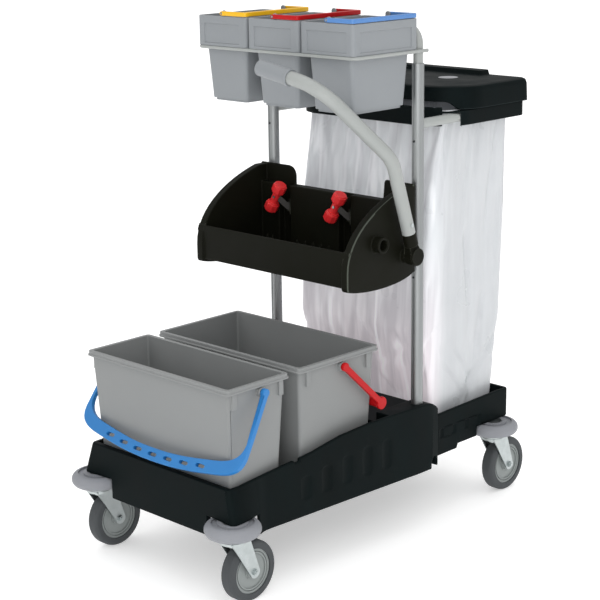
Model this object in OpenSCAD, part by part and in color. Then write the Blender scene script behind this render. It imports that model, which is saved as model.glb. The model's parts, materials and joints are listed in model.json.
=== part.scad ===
// Janitor cart: a castor base with two wash buckets, a tool tray, three small bins,
// a folding push handle and a waste bag under a hinged lid.
// Millimetres. +Z is up, the floor is z = 0, -Y is the bucket end and +Y the bag end.

/* [Castors] */
// Diameter over the tyre
wheel_d = 125; // [100:1:135]
// Width of the tyre
tyre_w = 30; // [24:1:36]
// Diameter of the wheel centre inside the tyre
hub_d = 92; // [80:1:100]
// Distance of each swivel axis from the centre line
castor_x = 206; // [200:1:212]
// Distance of the rear swivel axes behind the middle
rear_castor_y = 386.3; // [376:0.1:392]
// Distance that a wheel trails behind its swivel axis
castor_trail = 38; // [32:1:42]
// Height of the castor head, from the tyre's top to the base
castor_head_h = 49; // [45:1:54]
// Diameter of the round corner buffers
buffer_d = 113; // [106:1:118]
// Height of the corner buffers
buffer_h = 28; // [24:1:30]
// Thickness of the fork's steel
fork_t = 3; // [2:0.5:4]
// Gap between the tyre and each fork leg
wheel_gap = 2.5; // [2:0.5:4]
// Diameter of the axle bolts
axle_d = 8; // [6:1:9]
// Diameter of the king pins
kingpin_d = 12; // [10:1:14]

/* [Base] */
// Front face of the base, ahead of the middle
base_front = 444; // [440:1:448]
// Half width of the base at its front corners
base_front_x = 210; // [205:1:212]
// Half width of the base beside the posts
base_mid_x = 235; // [230:1:240]
// Half width of the bag platform
platform_x = 208; // [204:1:212]
// Rear face of the bag platform, behind the middle
platform_rear = 442; // [438:1:446]
// Where the base ends and the bag platform starts, behind the middle
seam_y = 165; // [160:1:170]
// Wall of the base and the platform
base_wall = 9; // [8:0.5:10]
// Thickness of their floors
base_floor_t = 5; // [4:0.5:6]
// Height of the front wall's top edge
front_wall_z = 242; // [236:1:246]
// Height of the shoulders that hold the posts
shoulder_z = 285; // [280:1:292]
// Height of the platform's wall beside the posts
platform_z = 236; // [230:1:242]
// Height of the platform's rear wall
platform_rear_z = 240; // [232:1:246]
// Gap between the tyres' top and the base's lower edge
skirt_gap = 7; // [5:0.5:10]

/* [Posts] */
// Distance of the posts from the centre line
post_x = 211; // [208:0.5:213]
// Distance of the posts behind the middle
post_y = 111.5; // [110:0.5:114]
// Diameter of the posts
post_d = 25; // [23:0.5:26]
// Height of the posts' top ends
post_top = 1009; // [1000:1:1015]
// Width of the groove in the posts
groove_w = 5; // [3:0.5:6]
// Diameter of the tubes of the top frame and the bag arms
tube_d = 20; // [18:0.5:20]
// Rise of the top frame's cross tube over the posts' top ends
frame_rise = 72; // [67:1:75]
// Diameter of the bin carrier's rod
rod_d = 7; // [6:0.5:8]
// Drop from the cross tube to the bin carrier's rod
carrier_drop = 46; // [43:1:49]

/* [Buckets] */
// Half width of the wash buckets over the rim
bucket_x = 213.4; // [206:0.1:214]
// Height of the buckets' rims
bucket_rim_z = 440.6; // [420:0.1:450]
// Front bucket: front and back of its rim
front_bucket_y = [-441.6, -272.9]; // [-450:0.1:450]
// Rear bucket: front and back of its rim
rear_bucket_y = [-248.6, -10.2]; // [-450:0.1:450]
// Wall of the buckets
bucket_wall = 3; // [2:0.5:4]
// Width of the rolled rim
bucket_rim_w = 7.5; // [6:0.5:10]
// Height of the rolled rim
bucket_rim_h = 11; // [9:0.5:14]
// Draw-in of each bucket wall from rim to floor
bucket_draft = 13; // [12:0.5:16]
// Corner radius of the buckets' rims
bucket_corner = 10; // [9:1:16]
// Distance of the bails' pivots behind the middle of each bucket
bail_shift = 8; // [0:1:12]
// Diameter of the studs that the bails turn on
stud_d = 10; // [8:0.5:12]
// Reach of the front bucket's bail, from its pivot to the middle of its grip
front_bail_reach = 182.5; // [178:0.5:184]
// Lean of the hanging front bail, forwards from straight down
front_bail_lean = 33.5; // [32.5:0.5:34.5]
// Reach of the rear bucket's bail
rear_bail_reach = 150; // [146:1:152]

/* [Bins] */
// Width of each top bin over its collar
bin_w = 146; // [140:0.5:148]
// Distance between the middles of neighbouring bins
bin_pitch = 150.5; // [149:0.5:151.5]
// Front of the bins' collars, ahead of the middle
bin_front = 96; // [92:1:100]
// Back of the bins' collars, behind the middle
bin_back = 97; // [90:0.5:99]
// Rise of the bins' rims over the carrier's rod
bin_rise = 66; // [60:1:72]
// Depth of the bins from rim to floor
bin_depth = 179; // [172:1:186]
// Step from the collar in to the bin's lower body
bin_step = 11; // [10.5:0.5:13]
// Draw-in of each bin wall from the step to the floor
bin_draft = 7.5; // [6:0.5:10]
// Wall of the bins
bin_wall = 2.5; // [2:0.5:3.5]
// Thickness of the bins' bails
bin_bail_t = 9; // [7:0.5:10]
// Width of the bins' bails
bin_bail_w = 7; // [6:0.5:8]

/* [Tray] */
// Half width of the tool tray
tray_x = 224; // [222:0.5:226]
// Front of the tray's side panels, ahead of the middle
tray_front = 118; // [112:1:124]
// Back face of the tray, behind the middle
tray_back = 89; // [86:1:92]
// Height of the tray's floor
tray_floor_z = 579; // [572:1:584]
// Height of the tray's front wall
tray_front_z = 652; // [645:1:660]
// Height of the tray's back wall
tray_back_z = 725; // [718:1:732]
// Height of the tray's ears and side panels
tray_ear_z = 765; // [758:1:772]
// Thickness of the tray's walls
tray_wall = 6; // [5:0.5:7]
// Thickness of the tray's side panels
tray_side_t = 18; // [14:1:20]
// Depth of the thick back panels
tray_panel_t = 17; // [14:0.5:20]
// Width of the strap slots between the back panels
strap_slot_w = 34; // [30:1:38]

/* [Handle] */
// Pivot of the push handle, behind the middle
handle_y = 58; // [54:1:62]
// Height of the pivot
handle_z = 621; // [616:1:626]
// Distance of the handle tube from the centre line
handle_x = 247; // [246:0.5:248]
// Diameter of the handle tube
handle_d = 28; // [26:0.5:28]
// Wall of the handle tube
handle_wall = 1.5; // [1:0.25:2]
// Outer diameter of the grip sleeve
grip_d = 33; // [32:0.5:34]
// Length of the grip sleeve
grip_l = 80; // [70:1:90]
// Diameter of the pivot's knuckle
knuckle_d = 37; // [34:0.5:40]
// Diameter of the pivot bolt
handle_bolt_d = 10; // [8:0.5:12]

/* [Waste bag] */
// Half width of the lid
lid_x = 235; // [233:0.5:238]
// Front and back of the lid
lid_y = [203, 465]; // [190:1:470]
// Height of the lid's lower edge
lid_z = 901; // [901:0.5:903]
// Height of the lid's skirt and crown
lid_h = 49; // [44:1:51]
// Wall of the lid
lid_wall = 4; // [3:0.5:5]
// Half width of the bag ring
ring_x = 226.5; // [225:0.5:228]
// Front and back of the bag ring
ring_y = [183, 460]; // [180:1:465]
// Height of the bag ring's top face
ring_top = 899; // [897:0.5:899.5]
// Depth of the bag ring's skirt
ring_depth = 31; // [28:1:36]
// Width of the bag ring's flange
ring_flange = 30; // [28:1:32]
// Thickness of the modelled bag film
bag_t = 1.2; // [1:0.1:2]
// Half width of the bag's floor
bag_floor_x = 172; // [155:1:180]
// Front and back of the bag's floor
bag_floor_y = [200, 412]; // [190:1:420]
// Height at which the bag is slackest
bag_waist_z = 420; // [380:1:560]
// Half width of the bag there
bag_waist_x = 190; // [180:1:194]
// Front and back of the bag there
bag_waist_y = [168, 432]; // [160:1:440]
// Diameter of the lid's hinge pins
lid_pin_d = 6; // [5:0.5:7]

/* [Hidden] */
$fn = 64;
hull_fn = 32;
running = 0.05; // radial clearance of pins and shafts
touch = 0.3; // gap between pieces that move past each other
over = 1; // how far cuts reach past a face

wheel_r = wheel_d / 2;
buffer_r = buffer_d / 2;
front_castor_y = -(rear_castor_y + castor_trail + wheel_r - buffer_r);
seat_z = wheel_d + castor_head_h;
floor_z = seat_z + base_floor_t;
skirt_z = wheel_d + skirt_gap;
front_left = [-castor_x, front_castor_y, 0];
front_right = [castor_x, front_castor_y, 0];
rear_left = [-castor_x, rear_castor_y, 0];
rear_right = [castor_x, rear_castor_y, 0];
leg_gap = tyre_w + 2 * wheel_gap;
sleeve_d = axle_d + 5;
axle_fit_d = axle_d + 2 * running;

post_bottom = floor_z + 6;
post_bore_d = tube_d + 2 * running;
post_seat_d = post_d + 2 * running;
groove_depth = (post_d - post_bore_d) / 4;
carrier_x = post_x + tube_d / 2 + rod_d / 2 + running;
cross_tube_z = post_top + frame_rise;
carrier_z = cross_tube_z - carrier_drop;
carrier_top = carrier_z + rod_d / 2;
bin_rim_z = carrier_z + bin_rise;
bin_floor_z = bin_rim_z - bin_depth;

bucket_floor = floor_z + touch;
bucket_body_x = bucket_x - bucket_rim_w;
bail_gap_x = bucket_x + 1;
bail_pivot_z = bucket_rim_z - bucket_rim_h - 11;
front_pivot_y = (front_bucket_y[0] + front_bucket_y[1]) / 2 + bail_shift;
rear_pivot_y = (rear_bucket_y[0] + rear_bucket_y[1]) / 2 + bail_shift;
front_grip_w = 26;
front_bail_t = 10;
front_arm_w = 10;
front_slot_pitch = 45.5;
rear_arm_w = 8;
rear_arm_t = 13;
rear_grip_d = 22;
// the rear bail hangs against the bucket's sloping back wall
rear_rest = rear_bucket_y[1] - bucket_rim_w + rear_grip_d / 2 + 0.5 - rear_pivot_y;
rear_drop = sqrt(rear_bail_reach * rear_bail_reach - rear_rest * rear_rest) + bucket_rim_z - bail_pivot_z;
rear_slope = bucket_draft * rear_drop / (bucket_rim_z - bucket_floor);
rear_bail_lean = asin((rear_rest - rear_slope) / rear_bail_reach);
stud_reach = 6.5;
base_corner = 12;
platform_corner = 14;
ring_corner = 20;
ring_front_r = 82;
ring_rise = 9;

bin_ys = [-bin_front, bin_back];
bin_mid_y = (bin_back - bin_front) / 2;
bin_collar_z = carrier_top + touch;
bin_pin_d = 5;
bin_pin_z = bin_rim_z + bin_bail_t / 2 + 1.2;
bin_lug_t = 4;

ring_flange_t = 4;
bag_arm_z = ring_top - ring_flange_t - tube_d / 2 - touch;
mouth_y = [lid_y[0] + 3, ring_y[1] - 12];
mouth_x = ring_x - ring_flange;
neck_r = 19;
bag_top_z = ring_top - ring_flange_t - 0.8;
hinge_y = lid_y[0] - 7;
hinge_z = ring_top + 11;
hinge_x = 70;
hinge_arm_w = 14;
hinge_lug_w = 8;
hinge_r = 7;

handle_socket = 54;
// the handle rises past the bins' front corner and then crosses in front of them
handle_ahead = bin_front + 64;
handle_p0 = [handle_x, handle_y, handle_z];
handle_p1 = [handle_x, -9, post_top - 180];
handle_p2 = [192, -handle_ahead, post_top - 25];
handle_p3 = [36, -handle_ahead, post_top + 2];
handle_lean = atan2(handle_p0[1] - handle_p1[1], handle_p1[2] - handle_p0[2]);
handle_up = [0, -sin(handle_lean), cos(handle_lean)];
handle_bend_r = 85;
boss_x = handle_x - 12;
handle_bolt_grip = tray_wall - 1;

// Colours of the cart's materials
black = "#1c2224";
tray_black = "#22241f";
bucket_grey = "#9a9b9b";
bin_grey = "#a0a5a8";
steel = "#b9c0c0";
aluminium = "#a5a8a9";
tyre_grey = "#55585a";
hub_grey = "#a0a5a4";
buffer_grey = "#8e8e94";
tube_grey = "#b5b8b4";
red = "#d9202a";
blue = "#3f8fd6";
light_blue = "#6f9fdd";
yellow = "#f2be1f";
film_white = "#d8d9dc";

// Helpers

function unit(v) = v / norm(v);

// Points of an arc in the plane
function arc(centre, r, from, to, steps = 8) =
  [for (i = [0:steps]) let (a = from + (to - from) * i / steps) centre + r * [cos(a), sin(a)]];

// Points of a cubic curve between two ends with two handles
function curve(a, b, c, d, steps = 14) =
  [for (i = [0:steps]) let (t = i / steps, s = 1 - t)
    s * s * s * a + 3 * s * s * t * b + 3 * s * t * t * c + t * t * t * d];

// A half outline at x >= 0, closed by its mirror image
function both_sides(half) =
  concat(half, [for (i = [len(half) - 1:-1:0]) [-half[i][0], half[i][1]]]);

// A YZ outline extruded along X, centred
module along_x(length) {
  rotate([90, 0, 90]) translate([0, 0, -length / 2]) linear_extrude(length) children();
}

// An XZ outline extruded along Y, centred
module along_y(length) {
  rotate([90, 0, 0]) translate([0, 0, -length / 2]) linear_extrude(length) children();
}

// A round-cornered rectangle between two corners
module rounded(low, high, r) {
  translate([low[0] + r, low[1]]) square([high[0] - low[0] - 2 * r, high[1] - low[1]]);
  translate([low[0], low[1] + r]) square([high[0] - low[0], high[1] - low[1] - 2 * r]);
  for (x = [low[0] + r, high[0] - r]) for (y = [low[1] + r, high[1] - r])
    translate([x, y]) circle(r);
}

// A thin round-cornered slab, a section of a lofted body
module section(half_x, ys, r, z) {
  translate([0, 0, z]) linear_extrude(0.1)
    rounded([-half_x, ys[0]], [half_x, ys[1]], r, $fn = hull_fn);
}

// Places its children at an origin with given x and y directions
module facing(origin, x, y) {
  z = cross(x, y);
  multmatrix([[x[0], y[0], z[0], origin[0]], [x[1], y[1], z[1], origin[1]],
    [x[2], y[2], z[2], origin[2]], [0, 0, 0, 1]]) children();
}

// A round bar from one point to another, or a tube where it has a bore
module bar(from, to, d, bore = 0) {
  z = unit(to - from);
  x = unit(cross(abs(z[2]) < 0.9 ? [0, 0, 1] : [1, 0, 0], z));
  facing(from, x, cross(z, x)) linear_extrude(norm(to - from)) ring_section(d, bore);
}

module ring_section(d, bore) {
  difference() {
    circle(d = d);
    if (bore > 0) circle(d = bore);
  }
}

// A bar or tube along straight runs that join in round bends
module bent_bar(points, bend_r, d, bore = 0) {
  last = len(points) - 1;
  runs = [for (i = [0:last - 1]) unit(points[i + 1] - points[i])];
  turns = [for (i = [0:last]) i == 0 || i == last ? 0 : acos(runs[i - 1] * runs[i])];
  cuts = [for (t = turns) bend_r * tan(t / 2)];
  for (i = [0:last - 1])
    bar(points[i] + cuts[i] * runs[i], points[i + 1] - cuts[i + 1] * runs[i], d, bore);
  for (i = [1:1:last - 1]) {
    inward = unit(runs[i] - (runs[i] * runs[i - 1]) * runs[i - 1]);
    facing(points[i] - cuts[i] * runs[i - 1] + bend_r * inward, -inward, runs[i - 1])
      rotate_extrude(angle = turns[i]) translate([bend_r, 0]) ring_section(d, bore);
  }
}

// Middle points of a tube's rings: straight runs that join in round bends
function bent_path(points, bend_r, steps) = let (last = len(points) - 1,
  runs = [for (i = [0:last - 1]) unit(points[i + 1] - points[i])])
  [for (i = [0:last]) let (
      turn = i == 0 || i == last ? 0 : acos(runs[i - 1] * runs[i]),
      cut = bend_r * tan(turn / 2),
      inward = turn == 0 ? [0, 0, 0] : unit(runs[i] - (runs[i] * runs[i - 1]) * runs[i - 1]),
      count = turn == 0 ? 0 : steps)
    for (k = [0:count]) turn == 0 ? points[i]
      : let (a = turn * k / count, along = runs[i - 1], start = points[i] - cut * along + bend_r * inward)
        start + bend_r * (sin(a) * along - cos(a) * inward)];

// Directions of a path at its points
function headings(path) = let (last = len(path) - 1)
  [for (i = [0:last]) unit(path[min(i + 1, last)] - path[max(i - 1, 0)])];

// A tube swept along a path, one closed wall with square ends
module swept_tube(path, d, bore, sides = 24) {
  n = len(path);
  ways = headings(path);
  function ring(i, r) = let (u = unit(cross(ways[i], [0, 1, 0])), v = cross(ways[i], u))
    [for (k = [0:sides - 1]) path[i] + r * (cos(360 * k / sides) * u + sin(360 * k / sides) * v)];
  function side(i, k, base) = let (a = base + i * sides, b = a + sides, m = (k + 1) % sides)
    [[a + k, a + m, b + m], [a + k, b + m, b + k]];
  function flip(t) = [t[2], t[1], t[0]];
  inner = n * sides;
  walls = [for (i = [0:n - 2]) for (k = [0:sides - 1]) for (t = side(i, k, 0)) flip(t)];
  bores = [for (i = [0:n - 2]) for (k = [0:sides - 1]) for (t = side(i, k, inner)) t];
  ends = [for (i = [0, n - 1]) for (k = [0:sides - 1]) let (a = i * sides, m = (k + 1) % sides,
      q = [[a + k, a + m, inner + a + m], [a + k, inner + a + m, inner + a + k]])
    for (t = q) i == 0 ? t : flip(t)];
  polyhedron([for (r = [d / 2, bore / 2]) for (i = [0:n - 1]) each ring(i, r)], concat(walls, bores, ends));
}

// Castors

// The whole head stands on the fork's crown and is fixed under the base
module castor_head() {
  crown_top = seat_z - buffer_h - 9;
  color(steel) {
    translate([0, 0, crown_top + touch]) cylinder(d = 52, h = 9 - touch);
    translate([0, 0, crown_top + 9]) cylinder(d = 40, h = buffer_h);
    translate([0, 0, crown_top - 11]) cylinder(d = kingpin_d, h = 12);
    translate([0, 0, crown_top - 14]) cylinder(d = kingpin_d + 8, h = 5);
  }
}

module castor_heads() {
  for (p = [front_left, front_right, rear_left, rear_right]) translate(p) castor_head();
}

module castor_buffers() {
  round_r = buffer_h / 2;
  for (p = [front_left, front_right, rear_left, rear_right])
    color(buffer_grey) translate(p + [0, 0, seat_z - buffer_h]) rotate_extrude() difference() {
      union() {
        translate([20 + running, 0]) square([buffer_r - round_r - 20 - running, buffer_h]);
        translate([buffer_r - round_r, round_r]) circle(round_r);
      }
      // dished top between the seat and the outer roll
      translate([31, buffer_h - 4]) square([buffer_r - round_r - 31, 4 + over]);
    }
}

// Pressed steel fork that swivels under the head and trails behind it
module fork() {
  crown_top = seat_z - buffer_h - 9;
  crown_t = 5;
  leg_x = leg_gap / 2 + fork_t / 2;
  axle_at = [castor_trail, wheel_r];
  color(steel) difference() {
    union() {
      translate([0, 0, crown_top - crown_t]) cylinder(d = 54, h = crown_t);
      translate([0, 0, crown_top - crown_t]) linear_extrude(crown_t)
        rounded([-leg_gap / 2 - fork_t, -22], [leg_gap / 2 + fork_t, 27], 6);
      for (side = [-1, 1]) translate([side * leg_x, 0, 0]) along_x(fork_t) {
        polygon([[-22, crown_top - 1], [27, crown_top - 1], [castor_trail + 12, wheel_r + 4],
          [castor_trail - 10, wheel_r - 7]]);
        translate(axle_at) circle(r = 12.6);
      }
    }
    translate([0, 0, crown_top - 20]) cylinder(d = kingpin_d + 2 * running, h = 40);
    translate([0, axle_at[0], axle_at[1]]) rotate([0, 90, 0])
      cylinder(d = axle_fit_d, h = leg_gap + 4 * fork_t, center = true);
  }
}

// Bolt with a hexagon head, a nut at its other end
module axle() {
  reach = leg_gap / 2 + fork_t;
  color(steel) translate([0, castor_trail, wheel_r]) rotate([0, 90, 0]) {
    cylinder(d = axle_d, h = 2 * reach + 14, center = true);
    translate([0, 0, reach]) cylinder(d = 15, h = 5, $fn = 6);
    translate([0, 0, -reach - 5]) cylinder(d = 15, h = 5, $fn = 6);
  }
}

// Steel sleeve clamped between the fork's legs, which the wheel turns on
module sleeve() {
  color("#8a8f90") translate([0, castor_trail, wheel_r]) rotate([0, 90, 0]) difference() {
    cylinder(d = sleeve_d, h = leg_gap, center = true);
    cylinder(d = axle_fit_d, h = leg_gap + 2, center = true);
  }
}

// Moulded wheel centre with a deep ring groove in each face
module hub() {
  hub_w = tyre_w - 6;
  boss_w = leg_gap - 2 * touch;
  bore_r = sleeve_d / 2 + running;
  color(hub_grey) translate([0, castor_trail, wheel_r]) rotate([0, 90, 0]) rotate_extrude() difference() {
    union() {
      translate([bore_r, -hub_w / 2]) square([hub_d / 2 - bore_r, hub_w]);
      translate([bore_r, -boss_w / 2]) square([15 - bore_r, boss_w]);
    }
    for (side = [-1, 1]) {
      translate([hub_d / 2 - 6, side * hub_w / 2]) square([2.4, 6], center = true);
      translate([17, side > 0 ? hub_w / 2 - 3 : -hub_w / 2 - over]) square([hub_d / 2 - 27, 3 + over]);
    }
  }
}

// Solid tyre with a round tread
module tyre() {
  inner_r = hub_d / 2 + running;
  depth = wheel_r - inner_r;
  shoulder = min(8, depth / 2 - touch);
  color(tyre_grey) translate([0, castor_trail, wheel_r]) rotate([0, 90, 0]) rotate_extrude() {
    translate([inner_r, -tyre_w / 2]) square([depth - shoulder, tyre_w]);
    translate([inner_r, -tyre_w / 2 + shoulder]) square([depth, tyre_w - 2 * shoulder]);
    for (side = [-1, 1])
      translate([wheel_r - shoulder, side * (tyre_w / 2 - shoulder)]) circle(shoulder);
  }
}

// Base

// Half of the base's outline, drawn in by t
function base_half(t) = concat(
  [[0, -base_front + t]],
  arc([base_front_x - base_corner, -base_front + base_corner], base_corner - t, -90, -4),
  [[base_mid_x - 2 - t, 62]],
  [[base_mid_x - t, 84], [base_mid_x - t, 138], [base_mid_x - 8 - t, seam_y], [0, seam_y]]);

// Half width of the base at a place between its front corners and the posts
function base_wall_x(y) = let (start = base_corner - base_front)
  base_front_x + (base_mid_x - 2 - base_front_x) * (y - start) / (62 - start);

// Height of the base's top edge, which climbs from the front wall to the shoulders
function base_edge_z(y) = front_wall_z + (shoulder_z - front_wall_z)
  * lookup(y, [[30 - base_front, 0], [-342, 0.19], [-222, 0.47], [-138, 0.83], [-51, 0.98], [30, 1]]);

// Tool for a shallow upright groove in a side wall, with pointed ends
module flute(side, r, depth, h) {
  tip = round(h / 4);
  translate([side * (r - depth), 0, 0]) {
    cylinder(r1 = r - 2 * depth, r2 = r, h = tip);
    translate([0, 0, tip]) cylinder(r = r, h = h - 2 * tip);
    translate([0, 0, h - tip]) cylinder(r1 = r, r2 = r - 2 * depth, h = tip);
  }
}

// Half of the bag platform's outline, drawn in by t
function platform_half(t) = concat(
  [[0, seam_y]],
  [[platform_x - t, seam_y]],
  arc([platform_x - platform_corner, platform_rear - platform_corner], platform_corner - t, 0, 90),
  [[0, platform_rear - t]]);

// Room for the castors' heads and buffers under the corners
module castor_room(y) {
  for (side = [-1, 1]) translate([side * castor_x, y, 0]) {
    cylinder(d = buffer_d + 8, h = seat_z);
    translate([side * 40, 0, seat_z / 2]) cube([80, buffer_d - 8, seat_z], center = true);
  }
}

module base_moulding() {
  well_back = rear_bucket_y[1] + 16;
  bridge_z = shoulder_z - 23;
  color(black) difference() {
    // walls follow the outline, their top edge climbs towards the posts
    intersection() {
      linear_extrude(shoulder_z + 10) polygon(both_sides(base_half(0)));
      along_x(2 * base_mid_x + 20) polygon([[-base_front - 5, skirt_z], [-base_front - 5, front_wall_z],
        [-base_front + 30, front_wall_z], [-342, base_edge_z(-342)], [-222, base_edge_z(-222)],
        [-138, base_edge_z(-138)], [-51, base_edge_z(-51)], [30, shoulder_z], [116, shoulder_z],
        [140, shoulder_z - 6], [156, shoulder_z - 15], [seam_y, bridge_z], [seam_y, skirt_z]]);
    }
    // the well for the two buckets
    translate([0, 0, floor_z]) linear_extrude(200) intersection() {
      polygon(both_sides(base_half(base_wall)));
      translate([-300, -base_front + 14]) square([600, well_back + base_front - 14]);
    }
    // the bridge between the shoulders is lower than they are
    translate([-post_x + 24, well_back - over, bridge_z]) cube([2 * post_x - 48, 300, 100]);
    // hollow underside, with cross ribs left standing
    translate([0, 0, -over]) linear_extrude(seat_z + over) intersection() {
      polygon(both_sides(base_half(base_wall)));
      for (bay = [-base_front + 14, -300, -150, 0]) translate([-300, bay]) square([600, 143]);
    }
    // hollow inside the bridge, open below
    translate([-post_x + 34, well_back + 8, -over])
      cube([2 * post_x - 68, seam_y - well_back - 16, bridge_z - 6 + over]);
    castor_room(front_castor_y);
    for (side = [-1, 1]) {
      translate([side * post_x, post_y, post_bottom]) cylinder(d = post_seat_d, h = 200);
      // arched notch in the lower edge behind each post
      translate([side * base_mid_x, 148, skirt_z + 14]) rotate([0, 90, 0])
        cylinder(r = 12, h = 40, center = true);
      translate([side * base_mid_x, 148, skirt_z]) cube([40, 24, 28], center = true);
      // shallow flutes in the side walls
      for (y = [-240, -182, -124, -66, -8]) translate([side * base_wall_x(y), y, skirt_z + 22])
        flute(side, 48, 3, floor(base_edge_z(y) - skirt_z) - 52);
    }
    // small relief in the top edge between the two buckets
    for (side = [-1, 1])
      translate([side * 215, -262, base_edge_z(-262)]) cube([60, 14, 12], center = true);
  }
  // low ridges that keep the buckets apart
  color(black) for (x = [-110, 110])
    translate([x, (front_bucket_y[1] + rear_bucket_y[0]) / 2, floor_z + 8]) cube([80, 14, 16], center = true);
}

// The platform clips behind the base and carries the bag
module bag_platform() {
  color(black) difference() {
    intersection() {
      linear_extrude(platform_z + 10) polygon(both_sides(platform_half(0)));
      along_x(2 * platform_x + 20) polygon([[seam_y, skirt_z], [seam_y + 14, skirt_z],
        [seam_y + 20, skirt_z + 9], [seam_y + 90, skirt_z + 10], [seam_y + 93, skirt_z + 20],
        [platform_rear + 5, skirt_z + 20], [platform_rear + 5, platform_rear_z],
        [platform_rear - 40, platform_rear_z + 2], [seam_y, platform_z]]);
    }
    translate([0, 0, floor_z]) linear_extrude(200) intersection() {
      polygon(both_sides(platform_half(base_wall)));
      translate([-300, seam_y + base_wall]) square([600, 400]);
    }
    translate([0, 0, -over]) linear_extrude(seat_z + over) intersection() {
      polygon(both_sides(platform_half(base_wall)));
      for (bay = [seam_y + base_wall, seam_y + 98, seam_y + 190]) translate([-300, bay]) square([600, 84]);
    }
    castor_room(rear_castor_y);
    for (side = [-1, 1]) for (y = [200, 244, 288, 332]) translate([side * platform_x, y, skirt_z + 42])
      flute(side, 14, 2.5, 34);
  }
}

// Posts and frames

module post(side) {
  color(aluminium) translate([side * post_x, post_y, 0]) difference() {
    translate([0, 0, post_bottom]) cylinder(d = post_d, h = post_top - post_bottom);
    translate([0, 0, post_bottom - over]) cylinder(d = post_bore_d, h = post_top);
    // the groove runs down the front, where the screws sit
    translate([-groove_w / 2, -post_d / 2 - over, shoulder_z + 10])
      cube([groove_w, groove_depth + over, post_top]);
  }
}

module left_post() {
  post(-1);
}

module right_post() {
  post(1);
}

// Tube bent to an inverted U, its legs in the posts
module top_frame() {
  leg_bottom = post_top - 60;
  points = [[-post_x, post_y, leg_bottom], [-post_x, post_y, cross_tube_z], [post_x, post_y, cross_tube_z],
    [post_x, post_y, leg_bottom]];
  color(tube_grey) bent_bar(points, 34, tube_d, tube_d - 3);
}

// Rod bent round the bins, its ends beside the posts, with a rear rod under the bins
module bin_carrier() {
  front = -bin_front + rod_d / 2 - 1.5;
  back = post_y + 13;
  rear_rod = bin_back - 6;
  color(tube_grey) {
    bent_bar([[-carrier_x, back, carrier_z], [-carrier_x, front, carrier_z], [carrier_x, front, carrier_z],
      [carrier_x, back, carrier_z]], 14, rod_d);
    bar([-carrier_x, rear_rod, carrier_z], [carrier_x, rear_rod, carrier_z], rod_d);
  }
}

// Pan head screws in the posts' grooves
module post_screws() {
  head_h = 2.4;
  seat_y = post_y - post_d / 2 + groove_depth;
  for (side = [-1, 1]) for (z = [tray_floor_z - 16, post_top - 159])
    color(steel) translate([side * post_x, seat_y, z]) rotate([90, 0, 0])
      cylinder(d = groove_w - 0.4, h = head_h);
}

// Tray

// Outline of the tray's side panel: a straight foot and one sweep up to the ear
function tray_side() = concat(
  curve([tray_back, tray_floor_z + 3], [tray_back - 33, tray_floor_z - 22],
    [-tray_front + 56, tray_floor_z - 22], [-tray_front + 3, tray_floor_z - 7]),
  arc([-tray_front + 10, tray_floor_z], 10, 220, 180, 3),
  curve([-tray_front, tray_front_z - 42], [-tray_front, tray_front_z + 28],
    [-tray_front + 78, tray_ear_z - 30], [62, tray_ear_z - 3]),
  [[tray_back, tray_ear_z - 3]]);

// Back wall seen from the front: ears of different width at its ends
function tray_back_outline() = concat(
  [[-tray_x, tray_floor_z], [tray_x, tray_floor_z], [tray_x, tray_ear_z]],
  [[tray_x - 78, tray_ear_z]],
  [[tray_x - 81, tray_ear_z - 6], [tray_x - 84, tray_back_z]],
  [[-tray_x + 107, tray_back_z]],
  arc([-tray_x + 85, tray_ear_z - 22], 22, 0, 90, 6),
  [[-tray_x, tray_ear_z]]);

strap_slots = [-152, 28];
socket_at = [-31, 658];
socket_d = 22;

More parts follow.
